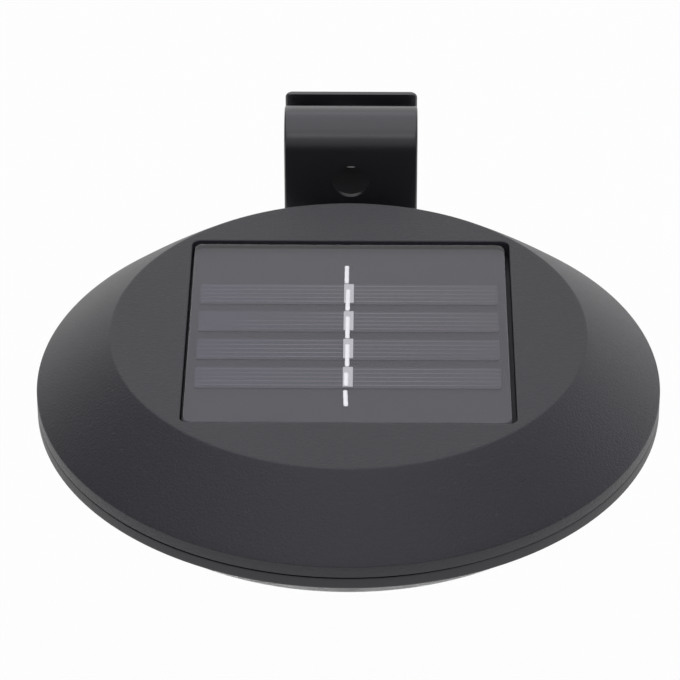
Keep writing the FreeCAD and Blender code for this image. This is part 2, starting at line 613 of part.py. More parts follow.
def add_ribbon(sketch):
    """One tinned tab per strip, from its busbar forwards to the next strip, and a tail at the back."""
    for index in range(round(value("size.cell_count"))):
        middle = f"({index} - (size.cell_count - 1) / 2) * {CELL_PITCH} - size.cell_front"
        start = f"({middle} + size.cell_depth / 2 - size.ribbon_start)"
        reach = "size.cell_space" if index else "size.ribbon_tail"
        stop = f"({middle} - size.cell_depth / 2 - {reach})"
        add_box(sketch, "0", f"({start} + {stop}) / 2", "size.ribbon_width", f"({start} - {stop})")
    back = f"({middle} + size.cell_depth / 2)"
    add_box(sketch, "0", f"{back} + size.ribbon_tail / 2", "size.ribbon_width", "size.ribbon_tail")


def make_panel():
    """Tape frame, board, cell strips, busbars, ribbon and the clear resin cast over them."""
    tape = new_body("panel_tape")
    frame = new_sketch(tape, "tape_frame", "XY_Plane", RECESS_BOTTOM)
    add_rounded_square(frame, HALF_PANEL, "size.recess_corner")
    opening = f"(2 * {HALF_PANEL} - 2 * size.tape_width)"
    add_box(frame, "0", "0", opening, opening)
    pad(tape, frame, "size.tape_thick")

    board = new_body("panel_board")
    plate = new_sketch(board, "panel_plate", "XY_Plane", BOARD_BOTTOM)
    add_rounded_square(plate, HALF_PANEL, "size.recess_corner")
    pad(board, plate, "size.board_thick")

    busbar_low = f"({BOARD_TOP} + size.cell_thick)"
    ribbon_low = f"({busbar_low} + size.busbar_thick)"
    cells = new_body("solar_cells")
    strips = new_sketch(cells, "cell_strips", "XY_Plane", BOARD_TOP)
    add_cells(strips, "size.cell_length")
    pad(cells, strips, "size.cell_thick")
    busbars = new_body("cell_busbars")
    bars = new_sketch(busbars, "busbar_strips", "XY_Plane", busbar_low)
    add_cells(bars, "size.busbar_width")
    pad(busbars, bars, "size.busbar_thick")
    ribbon = new_body("tabbing_ribbon")
    strip = new_sketch(ribbon, "ribbon_strip", "XY_Plane", ribbon_low)
    add_ribbon(strip)
    pad(ribbon, strip, "size.ribbon_thick")

    resin = new_body("panel_resin")
    cast = new_sketch(resin, "resin_plate", "XY_Plane", BOARD_TOP)
    add_rounded_square(cast, HALF_PANEL, "size.recess_corner")
    pad(resin, cast, "size.resin_thick")
    for name, fill, depth in (
            ("cell_room", lambda room: add_cells(room, "size.cell_length"), "size.cell_thick"),
            ("busbar_room", lambda room: add_cells(room, "size.busbar_width"),
             "size.cell_thick + size.busbar_thick"),
            ("ribbon_room", add_ribbon, "size.cell_thick + size.busbar_thick + size.ribbon_thick")):
        room = new_sketch(resin, name, "XY_Plane", BOARD_TOP)
        fill(room)
        pocket(resin, room, depth, reverse=True)


# ---------------------------------------------------------------- battery

def make_battery():
    """The cell with its nub, turned about its own axis."""
    body = new_body("battery_cell", "battery")
    can = new_sketch(body, "battery_profile", "XZ_Plane")
    tip = f"(size.contact_thick - {BAY_HALF})"
    shoulder, end = f"({tip} + size.nub_length)", f"({tip} + size.nub_length + size.battery_length)"
    lean = f"size.battery_round * (1 - {ROUND})"
    add_outline(can, [
        (tip, "0"), (end, "0"), (end, "size.battery_radius - size.battery_round"),
        (f"{end} - size.battery_round", "size.battery_radius",
         f"{end} - {lean}", f"size.battery_radius - {lean}"),
        (f"{shoulder} + size.battery_round", "size.battery_radius"),
        (shoulder, "size.battery_radius - size.battery_round",
         f"{shoulder} + {lean}", f"size.battery_radius - {lean}"),
        (shoulder, "size.nub_radius"), (tip, "size.nub_radius"),
    ])
    turn(body, can, "H_Axis")


def make_holder():
    """A trough that opens downwards, with a wall at each end."""
    body = new_body("battery_holder", "battery")
    trough = new_sketch(body, "trough", "YZ_Plane")
    inner = "(size.battery_radius + size.holder_clear)"
    top = f"({inner} + size.holder_roof)"
    low = f"({top} - size.holder_grip)"
    add_outline(trough, [
        (f"-{HOLDER_SIDE}", top), (f"-{HOLDER_SIDE}", low), (f"-{inner}", low), (f"-{inner}", "0"),
        (inner, "0", "0", inner), (inner, low), (HOLDER_SIDE, low), (HOLDER_SIDE, top),
    ])
    pad(body, trough, f"2 * {BAY_HALF}", both_ways=True)
    end = new_sketch(body, "end_wall", "YZ_Plane", BAY_HALF)
    add_box(end, "0", f"{top} - size.holder_grip / 2", f"(2 * {HOLDER_SIDE})", "size.holder_grip")
    mirror(body, [pad(body, end, "size.holder_wall")], "YZ_Plane")


def make_contacts():
    """A flat plate at the nub and a bent leaf that presses on the other end."""
    body = new_body("battery_contacts", "battery")
    thick, half = "size.contact_thick", "size.contact_height / 2"
    plates = new_sketch(body, "contact_plates", "XZ_Plane")
    add_box(plates, f"{thick} / 2 - {BAY_HALF}", "0", thick, "size.contact_height")
    add_outline(plates, [
        (BAY_HALF, f"-{half}"), (BAY_HALF, half), (f"{BAY_HALF} - {thick}", half),
        (f"{BAY_HALF} - {thick}", f"{thick} * 5 - {half}"), (f"{BAY_HALF} - size.leaf_rise + {thick}", "0"),
        (f"{BAY_HALF} - size.leaf_rise + {thick}", "size.leaf_tip"),
        (f"{BAY_HALF} - size.leaf_rise", "size.leaf_tip"), (f"{BAY_HALF} - size.leaf_rise", f"-{thick}"),
        (f"{BAY_HALF} - 2 * {thick}", f"-{half}"),
    ])
    pad(body, plates, "size.contact_width", both_ways=True)


# ---------------------------------------------------------------- light engine

def make_disc(label, radius, low, high):
    """A flat round plate on the lamp's axis."""
    body = new_body(label)
    disc = new_sketch(body, f"{label}_disc", "XY_Plane", low)
    add_circle(disc, "0", "0", radius)
    pad(body, disc, f"{high} - {low}")
    return body


def arc_rise(chord, rise):
    """The height of a shallow arc a quarter chord from its lowest point, by its half chord and its rise."""
    radius = f"(({chord} * {chord} + {rise} * {rise}) / (2 * {rise}))"
    return f"({radius} - sqrt({radius} * {radius} - {chord} * {chord} / 4))"


def add_flat_disc(sketch, radius, back):
    """A disc about the lamp's axis with a straight back edge that leaves room for the hinge."""
    half = f"sqrt({radius} * {radius} - {back} * {back})"
    add_outline(sketch, [(f"-{half}", back), (half, back, "0", f"-{radius}")])


def make_lens():
    """Wide lens: a tray under the whole base, with a turned bowl in its middle for the light's tub."""
    body = new_body("lens")
    tray = new_sketch(body, "lens_tray", "XY_Plane", LENS_TOP)
    add_flat_disc(tray, LENS_OUT, LENS_BACK)
    pad(body, tray, "size.lens_depth", reverse=True)
    round_edges(body, "size.lens_round", is_ring(LENS_OUT, LENS_LOW))
    hollow = new_sketch(body, "lens_hollow", "XY_Plane", LENS_TOP)
    add_flat_disc(hollow, LENS_IN, f"({LENS_BACK} - size.lens_wall)")
    pocket(body, hollow, "size.lens_depth - size.lens_skin")
    bowl_mouth = new_sketch(body, "bowl_mouth", "XY_Plane", LENS_TOP)
    add_circle(bowl_mouth, "0", "0", BOWL_IN)
    pocket(body, bowl_mouth, "size.lens_depth")
    button_hole = new_sketch(body, "lens_button_hole", "XY_Plane", LENS_TOP)
    add_circle(button_hole, "0", f"-{BUTTON_FRONT}", "size.button_radius + size.button_fit")
    pocket(body, button_hole, "size.lens_depth")

    bowl = new_sketch(body, "bowl_profile", "XZ_Plane")
    inner, outer = f"({BOWL_IN} - size.tub_draft)", f"({BOWL_OUT} - size.tub_draft)"
    low, crown = f"({BOWL_LOW} - size.lens_skin)", "size.lens_crown"
    rise = arc_rise(outer, crown)
    add_outline(bowl, [
        (BOWL_IN, f"{LENS_LOW} + size.lens_skin"), (inner, BOWL_LOW),
        ("0", f"{BOWL_LOW} - {crown}", f"{inner} / 2", f"{BOWL_LOW} - {crown} + {arc_rise(inner, crown)}"),
        ("0", f"{low} - {crown}"),
        (outer, low, f"{outer} / 2", f"{low} - {crown} + {rise}"),
        (BOWL_OUT, LENS_LOW), (BOWL_OUT, f"{LENS_LOW} + size.lens_skin"),
    ])
    turn(body, bowl)


def make_lens_seal():
    """Gasket between the base and the lens tray's upper edge."""
    body = new_body("lens_seal")
    gasket = new_sketch(body, "lens_gasket", "XY_Plane", LENS_TOP)
    add_flat_disc(gasket, LENS_OUT, LENS_BACK)
    add_flat_disc(gasket, LENS_IN, f"({LENS_BACK} - size.lens_wall)")
    pad(body, gasket, "size.lens_seal_thick")


def make_reflector():
    """Turned tub under the base's opening: a flange, a drafted wall and a dish for the light board."""
    body = new_body("reflector")
    tub = new_sketch(body, "reflector_profile", "XZ_Plane")
    flat, wall = "(size.led_board_radius + 2 * size.led_fit)", "size.reflector_wall"
    add_outline(tub, [
        ("0", LED_BOARD_BOTTOM), ("0", f"{LED_BOARD_BOTTOM} - {wall}"),
        (flat, f"{LED_BOARD_BOTTOM} - {wall}"), (DISH, DISH_LOW), (f"{TUB_FOOT} + {wall}", DISH_LOW),
        (TUB_OUT, f"-size.rim_drop - {wall}"), (TUB_FLANGE, f"-size.rim_drop - {wall}"),
        (TUB_FLANGE, "-size.rim_drop"), (TUB_IN, "-size.rim_drop"), (TUB_FOOT, f"{DISH_LOW} + {wall}"),
        (DISH, f"{DISH_LOW} + {wall}"), (flat, LED_BOARD_BOTTOM),
    ])
    turn(body, tub)
    window = new_sketch(body, "led_window", "XY_Plane", LED_BOARD_BOTTOM)
    add_circle(window, "0", "-size.led_circle", "size.led_radius + size.led_fit")
    repeat_round(body, [pocket(body, window, "size.reflector_wall")], "size.led_count")


def make_leds():
    """Three light chips under their board."""
    body = new_body("leds")
    chip = new_sketch(body, "led_chip", "XY_Plane", LED_BOARD_BOTTOM)
    add_circle(chip, "0", "-size.led_circle", "size.led_radius")
    repeat_round(body, [pad(body, chip, "size.led_height", reverse=True)], "size.led_count")


# ---------------------------------------------------------------- control board and switch

def make_control_board():
    """Board under the deck, its parts and the two screws that hold it to the cover's posts."""
    middle = f"-{CONTROL_FRONT}"
    board = new_body("control_board")
    plate = new_sketch(board, "control_plate", "XY_Plane", CONTROL_BOTTOM)
    add_box(plate, "0", f"({middle})", "size.control_length", "size.control_depth")
    screws = new_body("board_screws")
    heads = new_sketch(screws, "board_screw_heads", "XY_Plane", CONTROL_BOTTOM)
    shanks = new_sketch(screws, "board_screw_shanks", "XY_Plane", CONTROL_BOTTOM)
    for side in ("", "-"):
        spot = f"{side}{CONTROL_SPOT}"
        add_circle(plate, spot, middle, "size.control_screw + size.screw_fit")
        add_circle(heads, spot, middle, "size.control_screw_head")
        add_circle(shanks, spot, middle, "size.control_screw")
    pad(board, plate, "size.control_thick")
    pad(screws, heads, "size.control_screw_height", reverse=True)
    pad(screws, shanks, "size.control_screw_length")

    chip = new_body("control_chip")
    package = new_sketch(chip, "chip_package", "XY_Plane", CONTROL_BOTTOM)
    add_box(package, "0", f"(-{PARTS_FRONT})", "size.chip_length", "size.chip_depth")
    pad(chip, package, "size.chip_height", reverse=True)
    coil = new_body("power_coil")
    winding = new_sketch(coil, "coil_can", "XY_Plane", CONTROL_BOTTOM)
    add_circle(winding, "size.parts_spread", f"-{PARTS_FRONT}", "size.coil_radius")
    pad(coil, winding, "size.coil_height", reverse=True)
    capacitor = new_body("capacitor")
    can = new_sketch(capacitor, "capacitor_can", "XY_Plane", CONTROL_BOTTOM)
    add_circle(can, "-size.parts_spread", f"-{PARTS_FRONT}", "size.capacitor_radius")
    pad(capacitor, can, "size.capacitor_height", reverse=True)


def make_switch():
    """Push switch on its cradle, the button below it and the seal between button and floor."""
    switch = new_body("switch_body")
    block = new_sketch(switch, "switch_block", "XY_Plane", SWITCH_BOTTOM)
    add_box(block, "0", f"(-{BUTTON_FRONT})", "size.switch_side", "size.switch_side")
    pad(switch, block, "size.switch_height")
    room = new_sketch(switch, "plunger_room", "XY_Plane", SWITCH_BOTTOM)
    add_circle(room, "0", f"-{BUTTON_FRONT}", "size.plunger_radius + size.plunger_fit")
    pocket(switch, room, "size.plunger_length + size.button_travel + size.travel_spare", reverse=True)

    button = new_body("switch_button")
    profile = new_sketch(button, "button_profile", "XZ_Plane", BUTTON_FRONT)
    low = f"({LENS_LOW} - size.button_proud)"
    lean = f"size.button_round * (1 - {ROUND})"
    add_outline(profile, [
        ("0", low), ("size.button_radius - size.button_round", low),
        ("size.button_radius", f"{low} + size.button_round",
         f"size.button_radius - {lean}", f"{low} + {lean}"),
        ("size.button_radius", SEAL_TOP), ("size.button_flange", SEAL_TOP),
        ("size.button_flange", FLANGE_TOP), ("size.plunger_radius", FLANGE_TOP),
        ("size.plunger_radius", PLUNGER_TOP), ("0", PLUNGER_TOP),
    ])
    turn(button, profile)

    seal = new_body("button_seal")
    ring = new_sketch(seal, "button_seal_ring", "XY_Plane", FLOOR)
    add_circle(ring, "0", f"-{BUTTON_FRONT}", "size.button_flange")
    add_circle(ring, "0", f"-{BUTTON_FRONT}", "size.button_radius + size.button_fit")
    pad(seal, ring, "size.button_seal_thick")


# ---------------------------------------------------------------- wires

def make_wires():
    """Pairs of wires: panel to board, board to lights, switch to board and battery to board."""
    straight = (
        ("panel_wires", "size.wire_spread / 2", "-size.window_front", CONTROL_TOP, BOARD_BOTTOM),
        ("led_wires", "size.wire_spread", "-size.window_front", LED_BOARD_TOP, CONTROL_BOTTOM),
    )
    for label, side, back, low, high in straight:
        wires = new_body(label)
        ends = new_sketch(wires, f"{label}_ends", "XY_Plane", low)
        add_circle(ends, side, back, "size.wire_radius")
        add_circle(ends, f"-{side}", back, "size.wire_radius")
        pad(wires, ends, f"{high} - {low}")

    level = f"({CONTROL_BOTTOM} - size.wire_radius)"
    board_front = f"({CONTROL_FRONT} + size.control_depth / 2 - size.switch_lead)"
    switch_back = f"({BUTTON_FRONT} - size.switch_side / 2)"
    leads = new_body("switch_wires")
    ends = new_sketch(leads, "switch_wire_ends", "XZ_Plane", board_front)
    add_circle(ends, "size.wire_spread / 2", level, "size.wire_radius")
    add_circle(ends, "-size.wire_spread / 2", level, "size.wire_radius")
    pad(leads, ends, f"{switch_back} - {board_front}")

    runs = new_body("battery_wires")
    path = new_sketch(runs, "battery_wire_path", "XY_Plane", level)
    out = f"({HOLDER_HALF} + size.wire_loop)"
    lap = f"({CONTROL_EDGE} + size.wire_lap)"
    bend, lean = "size.wire_bend", f"size.wire_bend * (1 - {ROUND})"
    add_outline(path, [
        (HOLDER_HALF, "size.wire_back"), (f"{out} - {bend}", "size.wire_back"),
        (out, f"size.wire_back - {bend}", f"{out} - {lean}", f"size.wire_back - {lean}"),
        (out, f"{bend} - {lap}"),
        (f"{out} - {bend}", f"-{lap}", f"{out} - {lean}", f"{lean} - {lap}"),
        ("size.control_length / 2 - size.wire_inset", f"-{lap}"),
    ], closed=False)
    section = new_sketch(runs, "battery_wire_end", "YZ_Plane", HOLDER_HALF)
    add_circle(section, "size.wire_back", level, "size.wire_radius")
    sweep = runs.newObject("PartDesign::AdditivePipe", "battery_wire_sweep")
    sweep.Profile = section
    sweep.Spine = (path, [])
    doc.recompute()
    mirror(runs, [sweep], "YZ_Plane")


# ---------------------------------------------------------------- the assembly

make_strap()
make_bolt()
make_washers()
make_knob_nut()
make_knob()
make_cover()
make_base()
make_ring("rim_seal", TONGUE_IN, TONGUE_OUT, FLOOR, TONGUE_END)
make_cover_screws()
make_panel()
make_battery()
make_holder()
make_contacts()
make_disc("led_board", "size.led_board_radius", LED_BOARD_BOTTOM, LED_BOARD_TOP)
make_leds()
make_reflector()
make_lens_seal()
make_lens()
make_control_board()
make_switch()
make_wires()

doc.recompute()
for item in doc.Objects:
    if {"Invalid", "Error"} & set(item.State):
        raise RuntimeError(f"{item.Label} did not build: {item.State}")

os.makedirs("parts", exist_ok=True)
for node in nodes:
    if node.Shape.isNull() or not node.Shape.isValid():
        raise RuntimeError(f"{node.Label} has no sound shape")
    node.Shape.exportStep(f"parts/{node.Label}.step")
    print(node.Label, len(node.Shape.Solids), round(node.Shape.Volume, 1))
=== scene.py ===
# %% [markdown]
# # A solar fence light and its strap
# The lamp is a round black housing with a square solar panel let into its flat top. A bent steel strap
# holds it to a fence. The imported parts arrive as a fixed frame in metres, and this lesson dresses them:
# the pieces that the eye meets get finer surfaces, and every piece gets a finish of its own.

# %% Load the frame
import math

import bmesh
import bpy
import numpy as np
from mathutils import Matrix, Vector


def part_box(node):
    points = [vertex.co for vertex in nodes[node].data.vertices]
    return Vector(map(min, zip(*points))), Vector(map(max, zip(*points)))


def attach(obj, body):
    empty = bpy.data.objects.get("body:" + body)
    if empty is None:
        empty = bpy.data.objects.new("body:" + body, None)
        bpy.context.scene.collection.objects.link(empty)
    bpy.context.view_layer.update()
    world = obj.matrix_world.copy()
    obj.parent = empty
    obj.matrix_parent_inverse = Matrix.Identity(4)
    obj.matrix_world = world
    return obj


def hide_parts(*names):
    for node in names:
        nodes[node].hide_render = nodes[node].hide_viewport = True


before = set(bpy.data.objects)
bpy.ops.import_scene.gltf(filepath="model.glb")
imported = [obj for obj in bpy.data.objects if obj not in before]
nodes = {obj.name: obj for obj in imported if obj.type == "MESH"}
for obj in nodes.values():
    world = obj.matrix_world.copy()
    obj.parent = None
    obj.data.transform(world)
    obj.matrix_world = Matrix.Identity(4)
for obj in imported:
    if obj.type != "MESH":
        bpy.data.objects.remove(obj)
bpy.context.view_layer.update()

# %% [markdown]
# ## Where the lamp stands
# Everything on the housing is measured from its own axis and its flat top. Reading both from the cover's
# box keeps the new surfaces on the frame. Lengths below are in millimetres, as a maker would write them.

# %% The housing's axis and main heights
MM = 0.001
cover_low, cover_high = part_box("top_cover")
strap_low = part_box("bracket_strap")[0]
panel_low, panel_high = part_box("panel_board")
AXIS = np.array([0.0, (cover_low.y + cover_high.y) / 2, cover_high.z]) / MM
RIM = (cover_high.x - cover_low.x) / 2 / MM
BEVEL_RUN, BEVEL_DROP, COVER_DROP, RIM_DROP = 13.0, 10.3, 12.5, 14.8
PLATEAU = RIM - BEVEL_RUN
print("axis", AXIS.round(2), "rim radius", round(RIM, 2))

# %% [markdown]
# ## Surfaces from grids
# A smooth moulded or bent surface is a grid of points: one direction runs round it or along it, and the
# other runs across its profile. Building the grid as one array keeps the shape a formula that can be
# read and changed, where a pushed and pulled mesh could not be.

# %% Grid and piece helpers
def grid(points, close_u=False, close_v=False):
    """Vertices and quads of a grid of points: each quad joins four neighbours, and wraps where closed."""
    rows, columns = points.shape[:2]
    index = np.arange(rows * columns).reshape(rows, columns)
    if close_u:
        index = np.vstack([index, index[:1]])
    if close_v:
        index = np.hstack([index, index[:, :1]])
    quads = np.stack([index[:-1, :-1], index[1:, :-1], index[1:, 1:], index[:-1, 1:]], axis=-1)
    return points.reshape(-1, 3), quads.reshape(-1, 4)


def mesh_of(name, sheets):
    """One mesh from several grids in millimetres: points that meet are merged and faces turn outwards."""
    starts = np.cumsum([0] + [len(points) for points, _ in sheets])
    points = np.vstack([points for points, _ in sheets]) * MM
    quads = np.vstack([quads + start for (_, quads), start in zip(sheets, starts)])
    mesh = bpy.data.meshes.new(name)
    mesh.vertices.add(len(points))
    mesh.vertices.foreach_set("co", points.astype(np.float32).ravel())
    mesh.loops.add(quads.size)
    mesh.loops.foreach_set("vertex_index", quads.astype(np.int32).ravel())
    mesh.polygons.add(len(quads))
    mesh.polygons.foreach_set("loop_start", np.arange(0, quads.size, 4, dtype=np.int32))
    mesh.update(calc_edges=True)
    tidy = bmesh.new()
    tidy.from_mesh(mesh)
    bmesh.ops.remove_doubles(tidy, verts=tidy.verts, dist=1e-6)
    bmesh.ops.dissolve_degenerate(tidy, edges=tidy.edges, dist=1e-7)
    bmesh.ops.recalc_face_normals(tidy, faces=tidy.faces)
    tidy.to_mesh(mesh)
    tidy.free()
    return mesh


def soften(mesh, angle):
    """Smooth shading, with a crease wherever two faces meet at more than the angle."""
    mesh.shade_smooth()
    mesh.set_sharp_from_angle(angle=math.radians(angle))


def piece(name, sheets, body, slot, *stands_for, angle=32, holes=()):
    """A finished object on its body: grids merged, holes cut, shading softened, CAD nodes replaced."""
    thing = bpy.data.objects.new(name, mesh_of(name, sheets))
    bpy.context.scene.collection.objects.link(thing)
    if holes:
        cut(thing, holes)
    soften(thing.data, angle)
    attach(thing, body)
    if stands_for:
        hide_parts(*stands_for)
    print(f"{name}: {len(thing.data.polygons)} faces on {body}")
    return thing


def cut(thing, cutters):
    """Takes closed grids away from a mesh, exactly, and leaves a plain mesh behind."""
    tool = bpy.data.objects.new("cutter", mesh_of("cutter", cutters))
    bpy.context.scene.collection.objects.link(tool)
    saw = thing.modifiers.new("saw", "BOOLEAN")
    saw.operation, saw.solver, saw.object = "DIFFERENCE", "EXACT", tool
    bpy.context.view_layer.update()
    sawn = bpy.data.meshes.new_from_object(thing.evaluated_get(bpy.context.evaluated_depsgraph_get()))
    thing.modifiers.clear()
    thing.data = sawn
    bpy.data.objects.remove(tool)

# %% [markdown]
# ## Rounded corners
# Nothing that is moulded or bent has a knife edge. A profile is written as its few sharp corners, each
# with a radius, and this helper swaps each corner for a short arc. That is how a draughtsman thinks of
# it, and it puts the highlights where the real edges catch the light.

# %% Profile and lathe helpers
def rounded(corners, steps=5):
    """A profile from corners (across, up, radius): each corner becomes an arc tangent to both its sides."""
    spots = np.array([corner[:2] for corner in corners], float)
    rows = [spots[:1]]
    for before, spot, after, corner in zip(spots, spots[1:], spots[2:], corners[1:]):
        radius = corner[2]
        if radius == 0:
            rows.append(spot[None])
            continue
        back, ahead = before - spot, after - spot
        back, ahead = back / np.hypot(*back), ahead / np.hypot(*ahead)
        half = math.acos(np.clip(back @ ahead, -1, 1)) / 2
        centre = spot + (back + ahead) / np.hypot(*(back + ahead)) * radius / math.sin(half)
        start = spot + back * radius / math.tan(half) - centre
        stop = spot + ahead * radius / math.tan(half) - centre
        swing = math.atan2(start[0] * stop[1] - start[1] * stop[0], start @ stop)
        angles = np.linspace(0, swing, steps + 1)
        turned = np.stack([start[0] * np.cos(angles) - start[1] * np.sin(angles),
                           start[0] * np.sin(angles) + start[1] * np.cos(angles)], axis=1)
        rows.append(centre + turned)
    rows.append(spots[-1:])
    return np.vstack(rows)


def lathe(profile, centre, axis="z", around=96):
    """A turned surface: each profile point (radius, height) is carried once round the axis."""
    angle = np.linspace(0, 2 * np.pi, around, endpoint=False)[:, None]
    radius, height = profile[:, 0][None], profile[:, 1][None]
    one, two, along = radius * np.cos(angle), radius * np.sin(angle), height + 0 * angle
    order = {"z": (one, two, along), "x": (along, one, two), "y": (one, along, two)}[axis]
    return grid(np.stack(order, axis=-1) + np.asarray(centre, float), close_u=True)


def rod(radius, start, stop, centre, axis="z", around=48):
    """A closed cylinder between two heights on its axis."""
    profile = np.array([(0, start), (radius, start), (radius, stop), (0, stop)], float)
    return lathe(profile, centre, axis, around)

# %% [markdown]
# ## Shader maths in plain expressions
# A finish is a formula: speckle here, a shade darker there. Wrapping a socket in a small class lets the
# formula be written as Python, and each sum or product adds its own Math node behind it. Every other
# node comes from one method, so a material reads as a list of decisions.

# %% Signal and finish classes
class Signal:
    """One output of a node. Arithmetic on it adds Math nodes."""

    def __init__(self, finish, socket):
        self.finish, self.socket = finish, socket

    def __add__(self, other):
        return self.finish.math("ADD", self, other)

    def __sub__(self, other):
        return self.finish.math("SUBTRACT", self, other)

    def __rsub__(self, other):
        return self.finish.math("SUBTRACT", other, self)

    def __mul__(self, other):
        return self.finish.math("MULTIPLY", self, other)

    def __truediv__(self, other):
        return self.finish.math("DIVIDE", self, other)

    def __lt__(self, other):
        return self.finish.math("LESS_THAN", self, other)

    def __abs__(self):
        return self.finish.math("ABSOLUTE", self)

    __radd__ = __add__
    __rmul__ = __mul__


class Finish:
    """A material and its node tree."""

    def __init__(self, name):
        self.material = bpy.data.materials.new(name)
        self.material.use_nodes = True
        self.tree = self.material.node_tree
        self.tree.nodes.clear()
        self.place = self.node("TexCoord", output="Object")

    def node(self, kind, settings=None, inputs=None, output=0):
        """Any node: its settings first, then values or links for its sockets; gives back one output."""
        node = self.tree.nodes.new("ShaderNode" + kind)
        for key, setting in (settings or {}).items():
            if key == "stops":
                while len(node.color_ramp.elements) < len(setting):
                    node.color_ramp.elements.new(0.5)
                for element, (position, colour) in zip(node.color_ramp.elements, setting):
                    element.position, element.color = position, colour
            else:
                setattr(node, key, setting)
        for key, entry in (inputs or {}).items():
            if isinstance(entry, Signal):
                self.tree.links.new(entry.socket, node.inputs[key])
            else:
                node.inputs[key].default_value = entry
        return Signal(self, node.outputs[output]) if node.outputs else node

    def math(self, operation, first, second=0.0):
        return self.node("Math", {"operation": operation}, {0: first, 1: second})

    def noise(self, scale, detail=2.0, roughness=0.5, stretch=None):
        """Soft noise in the piece's own space; stretch is a scale for each axis."""
        place = self.place
        if stretch:
            place = self.node("Mapping", {}, {"Vector": place, "Scale": stretch})
        return self.node("TexNoise", {}, {"Vector": place, "Scale": scale, "Detail": detail,
                                          "Roughness": roughness})

    def clamp(self, signal):
        return self.node("Clamp", {}, {0: signal})

    def mix(self, factor, first, second):
        """Blends two colours by a factor from 0 to 1."""
        return self.node("Mix", {"data_type": "RGBA"}, {0: factor, 6: first, 7: second}, 2)

    def bump(self, height, depth, strength=1.0):
        """A normal from a height signal; depth is how far a height of 1 stands up, in metres."""
        return self.node("Bump", {}, {"Height": height, "Distance": depth, "Strength": strength}, "Normal")

    def coat(self, **sockets):
        """Ends the tree in a Principled surface. Socket names are written with low lines for spaces."""
        shader = self.node("BsdfPrincipled", {}, {key.replace("_", " "): entry
                                                  for key, entry in sockets.items()})
        self.node("OutputMaterial", {}, {"Surface": shader})
        return self.material


def paint(thing, material):
    """Gives every face of a piece or a CAD node one material."""
    thing.data.materials.clear()
    thing.data.materials.append(material)

# %% [markdown]
# ## Moulded housing plastic
# The housing is black polypropylene from a spark-eroded mould, which leaves a fine, even, leathery
# grain. Carving that grain would take millions of faces, so two scales of noise drive a bump and a
# little unevenness in the gloss. The colour drifts slightly, as handled plastic does.

# %% Housing finish
def moulded(name, dark, light, gloss, grain_depth):
    """Black moulded plastic: colour drifts between dark and light, gloss is its middle roughness."""
    finish = Finish(name)
    cloud = finish.noise(35.0, 3.0)
    grain = finish.noise(2200.0, 4.0, 0.65)
    speck = finish.clamp(finish.noise(700.0, 1.0) * 9.0 - 6.2)
    colour = finish.mix(finish.clamp(cloud * 0.5 + grain * 1.4 - 0.45), dark, light)
    colour = finish.mix(speck * 0.15, colour, (0.06, 0.06, 0.064, 1))
    height = grain + finish.noise(5200.0, 2.0) * 0.35 + speck * 0.25
    return finish.coat(Base_Color=colour, Roughness=cloud * 0.05 + grain * 0.22 + (gloss - 0.135),
                       Specular_IOR_Level=0.5, Normal=finish.bump(height, grain_depth, 0.8))


housing = moulded("housing_plastic", (0.0155, 0.0150, 0.0195, 1), (0.0240, 0.0232, 0.0285, 1), 0.43, 1.4e-4)
underside = moulded("underside_plastic", (0.0150, 0.0145, 0.0180, 1), (0.0225, 0.0218, 0.0260, 1),
                    0.46, 5e-5)
print("finishes:", housing.name, underside.name)

# %% [markdown]
# ## The cover
# The upper shell is one turned moulding with a square let into it. It could be a disc with a hole cut
# by a box, but then the corner radii and the soft edge round the recess would be separate work. Here
# each spoke of the grid runs from the centre of the recess floor, up its wall, over the rounded lip,
# across the flat top and down the bevel. Near the middle a spoke ends on a rounded square, further out
# on a circle, and the rows between blend from one to the other. The panel is glued in by hand and lies a
# little to the left and front of its recess, so the recess stands a little to the right and back of it.

# %% Rounded square
def square_reach(angle, half, corner):
    """Distance from the middle of a square with round corners to its edge, at each angle.

    On a flat it is the half side over the larger of the cosine and sine. At a corner it is the far
    meeting of the spoke with the corner's circle.
    """
    across, up = np.abs(np.cos(angle)), np.abs(np.sin(angle))
    longer, shorter = np.maximum(across, up), np.minimum(across, up)
    flat = half / longer
    middle = half - corner
    along = (across + up) * middle
    round_part = along + np.sqrt(np.maximum(along ** 2 - 2 * middle ** 2 + corner ** 2, 0))
    return np.where(flat * shorter > middle, round_part, flat)


HALF_PANEL = (panel_high.x - panel_low.x) / 2 / MM
print("panel half side", round(HALF_PANEL, 2))

# %% Cover surface
RECESS_ASIDE = np.array([0.2, 0.25, 0.0])
RECESS_GAP, RECESS_LEVEL, PANEL_CORNER, COVER_INSIDE = 0.6, -2.9, 1.5, -4.45
LIP_ROUND, BEVEL_SWELL = 0.22, 0.22
TONGUE_OUT, TONGUE_IN, TONGUE_END = RIM - 2.2, RIM - 3.8, -13.1


